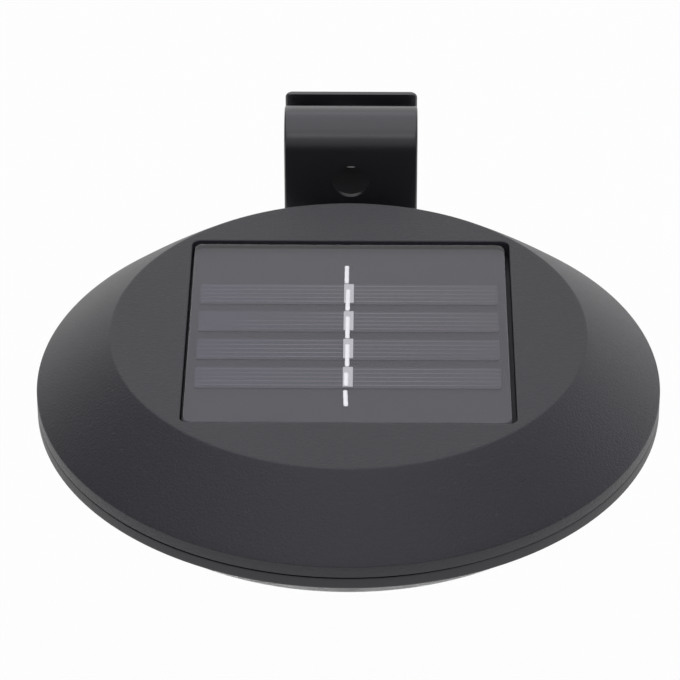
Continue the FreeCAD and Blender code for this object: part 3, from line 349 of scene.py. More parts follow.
def cover_sheet(around=960):
    """Spokes of (reach, height, share of circle): reach blends from the square's edge to a plain radius."""
    angle = np.linspace(0, 2 * np.pi, around, endpoint=False)[:, None]
    square = square_reach(angle, HALF_PANEL + RECESS_GAP, PANEL_CORNER)
    lip = rounded([(0, RECESS_LEVEL, 0), (0, 0, LIP_ROUND), (0.5, 0, 0)], 4)
    run = np.linspace(0, 1, 9)[1:]
    crown = BEVEL_SWELL * np.sin(np.pi * run)
    bevel = np.stack([PLATEAU + BEVEL_RUN * run, -BEVEL_DROP * run + crown], axis=1)[:-1]
    outer = np.vstack([
        rounded([(PLATEAU - 0.95, 0, 0), (PLATEAU, 0, 0.8), tuple(bevel[0]) + (0,)], 6),
        bevel[1:],
        rounded([tuple(bevel[-1]) + (0,), (RIM, -BEVEL_DROP, 0.35), (RIM, -COVER_DROP, 0.15),
                 (TONGUE_OUT, -COVER_DROP, 0)], 4)[1:],
        [(TONGUE_OUT, TONGUE_END), (TONGUE_IN, TONGUE_END), (TONGUE_IN, -9.9), (43.5, COVER_INSIDE),
         (0, COVER_INSIDE)]])
    inner = np.hstack([lip, np.zeros((len(lip), 1))])
    rows = np.vstack([inner, np.hstack([outer, np.ones((len(outer), 1))])])
    share = rows[:, 2][None]
    reach = (1 - share) * (square + rows[:, 0][None]) + share * rows[:, 0][None]
    height = rows[:, 1][None] + 0 * angle
    reach = np.hstack([0 * angle, reach])
    height = np.hstack([RECESS_LEVEL + 0 * angle, height])
    points = np.stack([reach * np.cos(angle), reach * np.sin(angle), height], axis=-1)
    aside = np.hstack([[[1.0]], 1 - share])[..., None] * RECESS_ASIDE
    return grid(points + AXIS + aside, close_u=True)


cover = piece("cover_moulding", [cover_sheet()], "lamp", "housing_top", "top_cover", angle=30)
paint(cover, housing)

# %% [markdown]
# ## The base
# The lower shell is another turned moulding: a plain rim that continues the cover's, and a flat ring
# under it that carries the screws and the button. Its holes are cut afterwards with plain cylinders,
# because a sunk hole is a pin in the mould as well. The seam under the cover is a dark hairline at the
# front that closes towards the sides, so the rim's upper edge is lifted a little there. The hinge lug is
# a slab with a round end.

# %% Base surface
TUB, RING_TOP, RING_FLOOR = 33.52, -12.8, -13.6
SCREW_SIDE, SCREW_SINK, BUTTON_Y, BUTTON_HOLE = 30.33, 3.0, -41.5, 3.2
HOLE_TOP, HOLE_LOW = -13.0, -15.5
base_profile = rounded([
    (RIM - 2.0, RING_TOP, 0), (RIM, RING_TOP, 0.12), (RIM, -RIM_DROP, 0.4), (TUB, -RIM_DROP, 0.1),
    (TUB, RING_FLOOR, 0), (RIM - 2.0, RING_FLOOR, 0), (RIM - 2.0, RING_TOP, 0)], 5)
screw_spots = [SCREW_SIDE * np.array(pair) for pair in ((1, 1), (-1, 1), (-1, -1), (1, -1))]
base_holes = [rod(SCREW_SINK, HOLE_LOW, HOLE_TOP, AXIS + [x, y, 0]) for x, y in screw_spots]
base_holes += [rod(BUTTON_HOLE, HOLE_LOW, HOLE_TOP, AXIS + [0, BUTTON_Y, 0])]
print("profile points", len(base_profile), "holes", len(base_holes))


# %% Slab helper
def slab(outline, hole, low, high, edge, across="x"):
    """A plate with a round hole, between two levels: its outline is drawn in to each face by a soft edge.

    The section runs from the hole's wall over one face, round the edge and back over the other face.
    """
    middle, radius = np.asarray(hole[:2], float), hole[2]
    away = outline - middle
    unit = away / np.hypot(*away.T)[:, None]
    inside = middle + unit * radius
    chamfer = edge * 0.29
    rows = [(inside, low), (outline - unit * edge, low), (outline - unit * chamfer, low + chamfer),
            (outline, low + edge), (outline, high - edge), (outline - unit * chamfer, high - chamfer),
            (outline - unit * edge, high), (inside, high)]
    flat = np.stack([np.column_stack([np.full(len(outline), level), ring]) for ring, level in rows], axis=1)
    if across == "z":
        flat = flat[..., [1, 2, 0]]
    return grid(flat, close_u=True, close_v=True)


def outline_through(corners, count=120):
    """Points spaced evenly round a closed run of rounded corners (across, up, radius)."""
    looped = rounded([corners[-1]] + list(corners) + [corners[0]], 8)[1:-1]
    looped = np.vstack([looped, looped[:1]])
    lengths = np.concatenate([[0], np.cumsum(np.hypot(*np.diff(looped, axis=0).T))])
    at = np.linspace(0, lengths[-1], count, endpoint=False)
    return np.column_stack([np.interp(at, lengths, looped[:, 0]), np.interp(at, lengths, looped[:, 1])])


PIVOT, KNUCKLE, BOLT_HOLE, HALF_LUG = np.array([-12.5, -17.4]), 5.6, 2.55, 4.0
SEAM_MIDDLE, SEAM_FADE_FROM, SEAM_FADE_OVER, SEAM_LIFT, SEAM_CLOSE = -15, 24, 18, 0.1, 0.2
lug_top = AXIS[2] + (RING_FLOOR - RIM_DROP) / 2
lug = outline_through([(PIVOT[0] - KNUCKLE, lug_top, 0.01), (PIVOT[0] - KNUCKLE, PIVOT[1] - KNUCKLE, 5.59),
                       (PIVOT[0] + KNUCKLE, PIVOT[1] - KNUCKLE, 5.59), (PIVOT[0] + KNUCKLE, lug_top, 0.01)])
base_points, base_faces = lathe(base_profile, AXIS, around=384)
spot = base_points - AXIS
from_middle = np.degrees(np.arctan2(spot[:, 0], -spot[:, 1])) - SEAM_MIDDLE
closing = np.clip((np.abs(from_middle) - SEAM_FADE_FROM) / SEAM_FADE_OVER, 0, 1)
base_points[:, 2] += np.where(spot[:, 2] > RING_TOP - 0.1, SEAM_LIFT + SEAM_CLOSE * closing, 0)
base = piece("base_moulding", [(base_points, base_faces)], "lamp", "housing_base", "base_shell",
             angle=30, holes=base_holes)
paint(base, underside)
hinge_lug = piece("hinge_lug", [slab(lug, (*PIVOT, BOLT_HOLE), -HALF_LUG, HALF_LUG, 0.4)], "lamp",
                  "housing_base")
paint(hinge_lug, underside)

# %% [markdown]
# ## Bosses and switch cradle
# On the ring's upper side stand four turned bosses that the screws pull on, and a small square stand with
# a round hole that carries the switch. They reach just under the ring's upper face, so that they join it.

# %% Bosses and cradle
STAND_LOW, BOSS_TOP, BOSS_RADIUS, BOSS_BORE = RING_FLOOR - 0.05, -11.0, 4.6, 1.6
HALF_CRADLE, FLANGE_ROOM = 4.75, 3.9
boss = np.array([(BOSS_BORE, BOSS_TOP), (BOSS_RADIUS, BOSS_TOP), (BOSS_RADIUS, STAND_LOW),
                 (SCREW_SINK, STAND_LOW), (SCREW_SINK, HOLE_TOP), (BOSS_BORE, HOLE_TOP),
                 (BOSS_BORE, BOSS_TOP)])
switch_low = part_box("switch_body")[0]
cradle = outline_through([(across * HALF_CRADLE, BUTTON_Y + along * HALF_CRADLE, 0.3)
                          for across, along in ((-1, -1), (1, -1), (1, 1), (-1, 1))])
flat_ring, ring_faces = slab(cradle, (0, BUTTON_Y, FLANGE_ROOM), STAND_LOW,
                             switch_low.z / MM - AXIS[2], 0.2, "z")
stands = [lathe(boss, AXIS + [x, y, 0], around=48) for x, y in screw_spots]
stands.append((flat_ring + AXIS, ring_faces))
paint(piece("base_bosses", stands, "lamp", "housing_base"), underside)

# %% [markdown]
# ## Powder-coated steel
# The strap is pressed from one millimetre steel and powder coated satin black. Powder flows out as it
# cures and leaves a faint orange-peel skin, smoother and darker than the plastic beside it. A larger,
# softer noise than the housing's gives that ripple.

# %% Strap finish
def powder_coat(name, colour, gloss):
    """Cured powder: low ripple about a millimetre across, and a thin scatter of finer pits."""
    finish = Finish(name)
    ripple = finish.noise(850.0, 2.0, 0.45)
    wear = finish.clamp(finish.noise(120.0, 5.0, 0.6) * 4.0 - 2.4)
    shade = finish.mix(wear * 0.25, colour, (0.035, 0.035, 0.037, 1))
    return finish.coat(Base_Color=shade, Roughness=ripple * 0.08 + wear * 0.08 + (gloss - 0.05),
                       Specular_IOR_Level=0.95, Normal=finish.bump(ripple, 1.6e-5, 0.55))


strap_coat = powder_coat("strap_powder_coat", (0.0145, 0.0142, 0.0175, 1), 0.32)

# %% [markdown]
# ## The strap
# The bracket is one strip: a foot under the pivot, a plate behind the lamp, a hook over the top, a leg
# down behind it and a return back up. A bent strip is a section carried along a path. The section is a
# thin rectangle with soft edges, and its width changes along the path where the foot tapers and where
# the free end has round corners.

# %% Path of the strip
def arc(centre, radius, start, stop, count):
    """Points on an arc in the side view, angles in degrees from +Y towards +Z."""
    angle = np.radians(np.linspace(start, stop, count))
    return np.column_stack([centre[0] + radius * np.cos(angle), centre[1] + radius * np.sin(angle)])


def line(start, stop, count):
    """Evenly spaced points between two spots, without the first."""
    return np.linspace(start, stop, count + 1)[1:]


PLATE_Y, LEG_Y, RETURN_Y, BEND_LEVEL, LEG_LOW = 0.5, 10.9, 14.3, 6.3, -15.5
HALF_STEEL, HALF_STRAP, HALF_FOOT, FOOT_BEND, END_ROUND, END_LEVEL = 0.5, 12.3, 5.15, 2.5, 0.9, 10.6
TAPER_FROM, TAPER_TO = -6.9, -3.0
foot_start, foot_level = PIVOT[0] - 2.5, strap_low.z / MM + HALF_STEEL
hook_y, hook_radius = (PLATE_Y + LEG_Y) / 2, (LEG_Y - PLATE_Y) / 2
turn_y, turn_radius = (LEG_Y + RETURN_Y) / 2, (RETURN_Y - LEG_Y) / 2
corner_level = END_LEVEL - END_ROUND
strip = np.vstack([
    [(foot_start, foot_level)], line((foot_start, foot_level), (TAPER_FROM, foot_level), 6),
    line((TAPER_FROM, foot_level), (PLATE_Y - FOOT_BEND, foot_level), 16),
    arc((PLATE_Y - FOOT_BEND, foot_level + FOOT_BEND), FOOT_BEND, -90, 0, 12)[1:],
    line((PLATE_Y, foot_level + FOOT_BEND), (PLATE_Y, BEND_LEVEL), 24),
    arc((hook_y, BEND_LEVEL), hook_radius, 180, 0, 40)[1:],
    line((LEG_Y, BEND_LEVEL), (LEG_Y, LEG_LOW), 20),
    arc((turn_y, LEG_LOW), turn_radius, 180, 360, 16)[1:],
    line((RETURN_Y, LEG_LOW), (RETURN_Y, corner_level), 20),
    np.column_stack([np.full(8, RETURN_Y),
                     corner_level + END_ROUND * np.sin(np.linspace(0, np.pi / 2, 9)[1:])])])
foot = (strip[:, 1] < foot_level + 0.01) & (strip[:, 0] < TAPER_TO)
taper = np.clip((strip[:, 0] - TAPER_FROM) / (TAPER_TO - TAPER_FROM), 0, 1)
half_width = np.where(foot, HALF_FOOT + (HALF_STRAP - HALF_FOOT) * taper, HALF_STRAP)
into_corner = np.clip(strip[:, 1] - corner_level, 0, END_ROUND) * (strip[:, 0] > turn_y)
half_width = half_width - (END_ROUND - np.sqrt(END_ROUND ** 2 - into_corner ** 2))
print("strip points", len(strip), "from", strip[0].round(1), "to", strip[-1].round(1))


# %% Strap surface
def strap_sheet(edge=0.42, across=26):
    """The strip's skin: round a thin rectangle with soft edges, carried along the path.

    At each path point the section's thickness lies along the path's normal and its width along X.
    """
    ahead = np.gradient(strip, axis=0)
    ahead /= np.hypot(*ahead.T)[:, None]
    normal = np.column_stack([-ahead[:, 1], ahead[:, 0]])
    side = np.linspace(-1, 1, across)
    bend = np.radians([90, 60, 30, 0])
    core = HALF_STEEL - edge
    ring = [(1, value, HALF_STEEL) for value in side]
    ring += [(2, edge * np.cos(a), core + edge * np.sin(a)) for a in bend]
    ring += [(2, edge * np.cos(a), -core - edge * np.sin(a)) for a in bend[::-1]]
    ring += [(1, -value, -HALF_STEEL) for value in side]
    ring += [(-2, edge * np.cos(a), -core - edge * np.sin(a)) for a in bend]
    ring += [(-2, edge * np.cos(a), core + edge * np.sin(a)) for a in bend[::-1]]
    kind, value, depth = (np.array(column)[None] for column in zip(*ring))
    half = half_width[:, None]
    reach = np.where(np.abs(kind) == 1, value * (half - edge), np.sign(kind) * (half - edge + value))
    spot = strip[:, None, :] + normal[:, None, :] * depth[..., None]
    sheet = np.concatenate([reach[..., None] + 0 * spot[..., :1], spot], axis=-1)
    start, stop = sheet[:1].mean(axis=1, keepdims=True), sheet[-1:].mean(axis=1, keepdims=True)
    flat = lambda end: np.repeat(end, sheet.shape[1], axis=1)
    return grid(np.concatenate([flat(start), sheet, flat(stop)]), close_v=True)


CLAMP_HOLE, ACCESS_HOLE = 3.3, 6.5
strap_holes = [rod(CLAMP_HOLE, -1.0, turn_y, (0, 0, 0), "y", 96),
               rod(ACCESS_HOLE, turn_y, 16.0, (0, 0, 0), "y", 128)]
strap = piece("strap_pressing", [strap_sheet()], "bracket", "bracket_steel", "bracket_strap",
              angle=35, holes=strap_holes)
paint(strap, strap_coat)

# %% Ears
EAR_GAP = 0.15
ear_middle, ear_foot = HALF_LUG + EAR_GAP + HALF_STEEL, strap_low.z / MM
ear = outline_through([(PIVOT[0] - KNUCKLE, PIVOT[1] + KNUCKLE, 5.59),
                       (PIVOT[0] - KNUCKLE, PIVOT[1] - 1.0, 1.0),
                       (foot_start, ear_foot, 0.01), (PIVOT[0] + 8.0, ear_foot, 0.01),
                       (PIVOT[0] + KNUCKLE, PIVOT[1] - 1.0, 1.0),
                       (PIVOT[0] + KNUCKLE, PIVOT[1] + KNUCKLE, 5.59)])
ears = [slab(ear, (*PIVOT, BOLT_HOLE), side * ear_middle - HALF_STEEL, side * ear_middle + HALF_STEEL, 0.2)
        for side in (-1, 1)]
paint(piece("strap_ears", ears, "bracket", "bracket_steel"), strap_coat)

# %% [markdown]
# ## The tilt knob and bolt
# A fluted knob clamps the lamp at its angle. A knob's grip is a radius that waves round the barrel, so
# the surface is a lathe whose radius also depends on the angle. The bolt and washers are plain turnings.

# %% Knob surface
KNOB_FROM, KNOB_TO, KNOB_RADIUS = 6.05, 14.05, 5.9


def knob_sheet(flutes=8, around=256):
    """Barrel with hollows: the radius drops by a rounded cosine power at each flute, fading at both ends."""
    angle = np.linspace(0, 2 * np.pi, around, endpoint=False)[:, None]
    profile = rounded([(4.7, KNOB_FROM, 0), (KNOB_RADIUS, KNOB_FROM, 0.35), (KNOB_RADIUS, KNOB_TO, 1.0),
                       (0, KNOB_TO, 0)], 7)
    middle = np.linspace(KNOB_FROM + 0.55, KNOB_TO - 1.25, 12)
    body = profile[:, 0] > KNOB_RADIUS - 0.05
    low, high = profile[:np.argmax(body) + 1], profile[len(body) - np.argmax(body[::-1]) - 1:]
    profile = np.vstack([low, np.column_stack([np.full(12, KNOB_RADIUS), middle]), high])
    height = profile[:, 1]
    fade = np.clip((height - KNOB_FROM - 0.25) / 1.2, 0, 1) * np.clip((KNOB_TO - 0.15 - height) / 1.6, 0, 1)
    dip = 0.75 * (0.5 + 0.5 * np.cos(flutes * angle)) ** 4 * fade[None]
    radius = np.maximum(profile[:, 0][None] - dip * (profile[:, 0][None] > 4.0), 0)
    along = height[None] + 0 * angle
    points = np.stack([along, radius * np.cos(angle), radius * np.sin(angle)], axis=-1)
    points = np.concatenate([np.broadcast_to([KNOB_FROM, 0, 0], points[:, :1].shape), points], axis=1)
    return grid(points + [0, *PIVOT], close_u=True)


def plain(name, colour, roughness, metallic=0.0, grain=900.0, depth=1e-5, drift=0.15, stretch=None, **more):
    """A finish with a slight drift of colour and gloss and a fine grain, for moulded and plated pieces."""
    finish = Finish(name)
    wave, fine = finish.noise(60.0, 3.0), finish.noise(grain, 3.0, 0.6, stretch)
    dark = tuple(channel * (1 - drift) for channel in colour) + (1,)
    shade = finish.mix(finish.clamp(wave * 0.7 + fine * 0.5 - 0.1), dark, (*colour, 1))
    uneven = fine * 0.12 + wave * 0.06 + (roughness - 0.09)
    return finish.coat(Base_Color=shade, Roughness=uneven, Metallic=metallic,
                       Normal=finish.bump(fine, depth, 0.6), **more)


knob = piece("tilt_knob", [knob_sheet()], "bracket", "knob_black", "thumb_knob", "knob_nut", angle=28)
paint(knob, plain("knob_plastic", (0.02, 0.02, 0.021), 0.5, depth=3e-5))

# %% Bolt and washers
HEAD_RADIUS, HEAD_HEIGHT, SHANK_RADIUS, SHANK_END = 4.4, 2.6, 2.5, 6.0
head_seat, head_face = -KNOB_FROM, -KNOB_FROM - HEAD_HEIGHT
bolt_profile = rounded([(0, head_face, 0), (HEAD_RADIUS, head_face, 0.9), (HEAD_RADIUS, head_seat, 0.15),
                        (SHANK_RADIUS, head_seat, 0), (SHANK_RADIUS, SHANK_END, 0), (0, SHANK_END, 0)], 6)
hexagon = np.linspace(0, 2 * np.pi, 6, endpoint=False)
socket = np.stack([np.stack([np.full(6, level), radius * np.cos(hexagon), radius * np.sin(hexagon)], axis=-1)
                   for radius, level in ((0, -9.0), (1.73, -9.0), (1.73, -7.05), (0, -7.05))], axis=1)
bolt = piece("tilt_bolt", [lathe(bolt_profile, (0, *PIVOT), "x", 72)], "bracket", "bolt_steel", "pivot_bolt",
             holes=[grid(socket + [0, *PIVOT], close_u=True)])
paint(bolt, plain("blackened_steel", (0.05, 0.05, 0.052), 0.38, 0.9, depth=6e-6))
WASHER_RADIUS, WASHER_THICK = 5.0, 0.9
ring = [(BOLT_HOLE, 0.0, 0), (WASHER_RADIUS, 0.0, 0.18), (WASHER_RADIUS, WASHER_THICK, 0.18),
        (BOLT_HOLE, WASHER_THICK, 0), (BOLT_HOLE, 0.0, 0)]
washers = [lathe(rounded([(radius, side * (ear_middle + HALF_STEEL + up), fillet)
                          for radius, up, fillet in ring], 3), (0, *PIVOT), "x", 72) for side in (-1, 1)]
washer_pair = piece("tilt_washers", washers, "bracket", "zinc_steel", "pivot_washers")
paint(washer_pair, plain("zinc_plate", (0.5, 0.5, 0.51), 0.34, 1.0, stretch=(1, 6, 6), depth=8e-6))

# %% [markdown]
# ## Cover screws
# The base is drawn up to the cover by cross-head screws sunk into its underside. A cross recess is too
# small to be worth cutting, so the head is one height field: a low dome, less a smooth-sided cross.

# %% Screw heads
SCREW_HEAD, SCREW_SHANK, HEAD_RIM, SHANK_TOP = 2.8, 1.5, -14.0, -6.1


def screw_sheet(x, y, around=96):
    """Head as height over a disc: a dome that falls with the square of the radius, less a cross."""
    angle = np.linspace(0, 2 * np.pi, around, endpoint=False)[:, None]
    radius = np.array([0.0, 0.25, 0.45, 0.6, 0.75, 0.9, 1.1, 1.3, 1.5, 1.7, 1.9, 2.2, 2.5, 2.7,
                       SCREW_HEAD])[None]
    across, up = np.abs(radius * np.cos(angle)), np.abs(radius * np.sin(angle))
    thin, long = np.minimum(across, up), np.maximum(across, up)
    recess = np.clip((0.36 - thin) / 0.12, 0, 1) * np.clip((1.75 - long) / 0.3, 0, 1)
    dome = -0.5 * (1 - (radius / SCREW_HEAD) ** 2)
    level = HEAD_RIM - 0.2 + dome + 0.75 * recess
    rim = np.repeat([[SCREW_HEAD, SCREW_HEAD, SCREW_SHANK, SCREW_SHANK, 0.0]], around, axis=0)
    rim_level = np.repeat([[HEAD_RIM, HOLE_TOP, HOLE_TOP, SHANK_TOP, SHANK_TOP]], around, axis=0)
    reach, height = np.hstack([radius + 0 * angle, rim]), np.hstack([level, rim_level])
    points = np.stack([reach * np.cos(angle), reach * np.sin(angle), height], axis=-1)
    return grid(points + AXIS + [x, y, 0], close_u=True)


screws = piece("cross_head_screws", [screw_sheet(x, y) for x, y in screw_spots], "lamp", "zinc_steel",
               "cover_screws", angle=40)
paint(screws, plain("screw_steel", (0.42, 0.42, 0.43), 0.33, 1.0, depth=5e-6))

# %% [markdown]
# ## The lens
# Light leaves through one wide frosted moulding. It is a tray that closes the underside, straight at
# the back where the hinge hangs, with a round bowl in its middle for the light. The bowl's inside is
# moulded with fine rings and spokes that spread the light. A turned sheet alone can't be straight on
# one side, so the tray's rows are held back to a line, and the bowl's rows are left round. The button's
# hole is drilled through the tray's floor.

# %% Lens surface and finish
TRAY_OUT, TRAY_IN, BACK_CUT = 47.5, 46.1, 9.3
TRAY_TOP, TRAY_FLOOR, TRAY_LOW = -15.3, -19.2, -20.7


def lens_sheet(around=360):
    """A closed shell: out over the crown and tray, up the wall, and back in over the tray and bowl.

    A tray row's reach is its radius or, if less, the way to a straight line BACK_CUT short of it.
    Inside the bowl the height ripples with radius and angle.
    """
    corners = [math.asin(back / reach) for back, reach in ((38.2, TRAY_OUT), (36.8, TRAY_IN))]
    angle = np.sort(np.concatenate([np.linspace(0, 2 * np.pi, around, endpoint=False), corners,
                                    [math.pi - corner for corner in corners]]))[:, None]
    crown = np.linspace(0, 1, 30)
    spread = 31.0 * crown[::-1]
    rows = [np.column_stack([33.0 * crown, -28.1 + 1.7 * (33.0 * crown / 34.02) ** 2]),
            rounded([(33.0, -26.5, 0), (34.02, -26.4, 0.6), (36.42, TRAY_LOW, 0.4),
                     (36.9, TRAY_LOW, 0)], 5)[1:],
            rounded([(46.9, TRAY_LOW, 0), (TRAY_OUT, TRAY_LOW, 0.5), (TRAY_OUT, TRAY_TOP, 0.1),
                     (TRAY_IN, TRAY_TOP, 0.1), (TRAY_IN, TRAY_FLOOR, 0.4), (45.6, TRAY_FLOOR, 0)], 5),
            rounded([(35.4, TRAY_FLOOR, 0), (34.92, TRAY_FLOOR, 0.4), (32.52, -24.9, 0.5),
                     (31.5, -25.0, 0)], 5),
            np.column_stack([spread, -26.6 + 1.7 * (spread / 32.52) ** 2])]
    tray = np.concatenate([np.full(len(part), float(k == 2)) for k, part in enumerate(rows)])[None]
    bowl = np.concatenate([np.full(len(part), float(k == 4)) for k, part in enumerate(rows)])[None]
    radius, height = (column[None] for column in np.vstack(rows).T)
    straight = (radius - BACK_CUT) / np.maximum(np.sin(angle), 1e-6)
    reach = np.where((tray > 0) & (np.sin(angle) > 0), np.minimum(radius, straight), radius + 0 * angle)
    ripple = 0.16 * np.sin(radius * 2.1) * np.cos(48 * angle) * np.clip(radius / 8, 0, 1) * bowl
    points = np.stack([reach * np.cos(angle), reach * np.sin(angle), height + ripple], axis=-1)
    return grid(points + AXIS, close_u=True)


frost = Finish("frosted_lens")
frost_grain = frost.noise(2200.0, 2.0)
lens_material = frost.coat(Base_Color=frost.mix(frost_grain, (0.86, 0.87, 0.86, 1), (0.93, 0.93, 0.92, 1)),
                           Roughness=frost_grain * 0.12 + 0.34, Transmission_Weight=0.75, IOR=1.49,
                           Normal=frost.bump(frost_grain, 1.2e-5, 0.5))
lens = piece("spreader_lens", [lens_sheet()], "lamp", "lens_frost", "lens", angle=50,
             holes=[rod(BUTTON_HOLE, TRAY_LOW - 0.8, TRAY_FLOOR + 0.7, AXIS + [0, BUTTON_Y, 0])])
paint(lens, lens_material)

# %% [markdown]
# ## The push button
# The switch is worked by a long soft button that stands through the lens and the ring. It is turned here
# as one profile, from its pressed face up past the flange, which rests on a seal, to the stem. The flange
# is kept a hair above the seal, because two faces in one plane would flicker as the lamp turns.

# %% Button
BUTTON_LOW, FLANGE_LOW, FLANGE_TOP, STEM_TOP = -22.2, -13.15, -12.5, -10.0
button_profile = rounded([(0, BUTTON_LOW, 0), (3.0, BUTTON_LOW, 0.6), (3.0, FLANGE_LOW, 0),
                          (3.7, FLANGE_LOW, 0), (3.7, FLANGE_TOP, 0), (1.2, FLANGE_TOP, 0),
                          (1.2, STEM_TOP, 0.2), (0, STEM_TOP, 0)], 6)
button = piece("soft_button", [lathe(button_profile, AXIS + [0, BUTTON_Y, 0], around=72)], "button",
               "button_rubber", "switch_button")
paint(button, plain("button_skin", (0.035, 0.035, 0.036), 0.7, depth=2e-5))

# %% [markdown]
# ## The solar panel
# Four strips of silicon lie on a dark board, joined by tinned ribbon, under clear cast resin. The slab
# is a closed sheet over the strips, whose bottom lies inside the board. Its edge is drawn in by surface
# tension, which leaves a soft bright line all round. It lets the light straight through and adds only
# the sheen of its own skin, so the strips under it stay as bright as they are. The sheen is left off
# where the skin is met from inside, since a thin clear coat has no second skin to shine.

# %% Resin slab
RESIN_TOP, RESIN_DEPTH, RESIN_ROUND = -0.15, 1.05, 0.32


def resin_sheet(around=960):
    """A slab on a rounded square: its top edge turns down on a small arc and its middle swells slightly."""
    angle = np.linspace(0, 2 * np.pi, around, endpoint=False)[:, None]
    square = square_reach(angle, HALF_PANEL, PANEL_CORNER)
    turn = np.radians(np.linspace(0, 90, 7))
    inset = np.concatenate([[0], RESIN_ROUND * (1 - np.cos(turn)), [0.9, 2.5, 6.0, 12.0, 20.0]])
    drop = np.concatenate([[RESIN_DEPTH], RESIN_ROUND * (1 - np.sin(turn)), [0, -0.01, -0.02, -0.03, -0.03]])
    reach = np.hstack([0 * angle, square - inset[None], 0 * angle])
    height = RESIN_TOP - np.hstack([[RESIN_DEPTH], drop, [-0.03]])[None] + 0 * angle
    points = np.stack([reach * np.cos(angle), reach * np.sin(angle), height], axis=-1)
    return grid(points + AXIS, close_u=True)


clear = Finish("clear_resin")
swell = clear.noise(45.0, 2.0)
through = clear.node("BsdfTransparent", {}, {"Color": (0.985, 0.985, 1, 1)})
skin = clear.noise(600.0, 3.0, 0.6) * 0.1 + 0.05
sheen = clear.node("BsdfGlossy", {}, {"Color": (1, 1, 1, 1), "Roughness": skin,
                                      "Normal": clear.bump(swell, 2e-5, 0.2)})
from_inside = clear.node("NewGeometry", output="Backfacing")
share = clear.node("Fresnel", {}, {"IOR": 1.5}) * (1 - from_inside)
both = clear.node("MixShader", {}, {0: share, 1: through, 2: sheen})
clear.node("OutputMaterial", {}, {"Surface": both})
resin = piece("cast_resin", [resin_sheet()], "lamp", "panel_clear", "panel_resin", angle=40)
paint(resin, clear.material)

# %% [markdown]
# ## Silicon strips
# Each strip carries a few hair-thin silver fingers along its length. They are printed, far too thin to
# model, so they are drawn in the finish: distance across the strip is folded into repeats, and a narrow
# band of each repeat is silver. Away from the middle the fingers are starved of paste and fade. The
# strips turn bluer towards the left. Their sawn edges are paler than their faces, and the pale edge
# colour also carries painted light that lifts sides the lamps barely reach.

# %% Silicon finish
cells_low, cells_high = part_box("solar_cells")
middle_y = (cells_low.y + cells_high.y) / 2
STRIP_PITCH, FINGER_PITCH, HALF_FINGER = 8.6, 1.2, 0.045


def silicon(name):
    """Dark blue-grey, with silver fingers: a repeat of 1.2 mm across the strip, each 0.09 mm wide."""
    finish = Finish(name)
    parts = finish.node("SeparateXYZ", {}, {0: finish.place})
    x, y, z = (Signal(finish, parts.socket.node.outputs[axis]) for axis in "XYZ")
    from_strip = (y - (middle_y - STRIP_PITCH / 2 * MM)) / MM + 10 * STRIP_PITCH
    strip_place = finish.math("PINGPONG", from_strip, STRIP_PITCH / 2)
    repeat = abs(finish.math("FRACT", strip_place / FINGER_PITCH + 0.5) - 0.5) * FINGER_PITCH
    finger = repeat < HALF_FINGER
    near = finish.clamp(1.2 - abs(x) / MM / 30.0)
    starved = finish.clamp(finish.noise(220.0, 2.0, 0.5, (0.12, 1, 1)) * 3.0 - 0.6)
    grain = finish.noise(420.0, 3.0, 0.6, (0.5, 1, 1))
    tint = finish.mix(finish.clamp(x / MM / -26.0), (0.050, 0.048, 0.059, 1), (0.050, 0.047, 0.074, 1))
    base_colour = finish.mix(grain * 0.3, tint, (0.043, 0.042, 0.052, 1))
    sawn = z < (cells_high.z - 2e-5)
    # The sides are painted pale. Sawn silicon is paler than its face, and the rest of the lift is painted
    # light on dimly lit sides.
    pale_edges_and_painted_light = finish.mix(sawn, base_colour, (0.30, 0.295, 0.32, 1))
    silver = finish.mix(finger * near * starved * 0.85, pale_edges_and_painted_light, (0.30, 0.30, 0.31, 1))
    return finish.coat(Base_Color=silver, Roughness=grain * 0.1 + 0.4, Specular_IOR_Level=0.33,
                       Normal=finish.bump(grain, 4e-6, 0.4))


paint(nodes["solar_cells"], silicon("silicon_strip"))
paint(nodes["panel_board"], plain("panel_mask", (0.0300, 0.0285, 0.0375), 0.5, Specular_IOR_Level=0.33))
paint(nodes["panel_tape"], plain("foam_tape", (0.02, 0.02, 0.02), 0.9, depth=6e-5))
paint(nodes["cell_busbars"], plain("silver_paste", (0.66, 0.66, 0.66), 0.6, 0.0, grain=1600.0, drift=0.25))
print("strips lie between", [round(value / MM, 1) for value in (cells_low.y, cells_high.y)])

# %% [markdown]
# ## Tinned ribbon
# Short flat wires dipped in solder join the strips. Each is soldered to a pad on one strip and runs
# over the gap to the back of the next, and its solder has set in low waves. A ribbon is again a
# section on a path. The first wire starts and the last one ends on the bare board, so the path dips
# there from the strips' level to the board's.

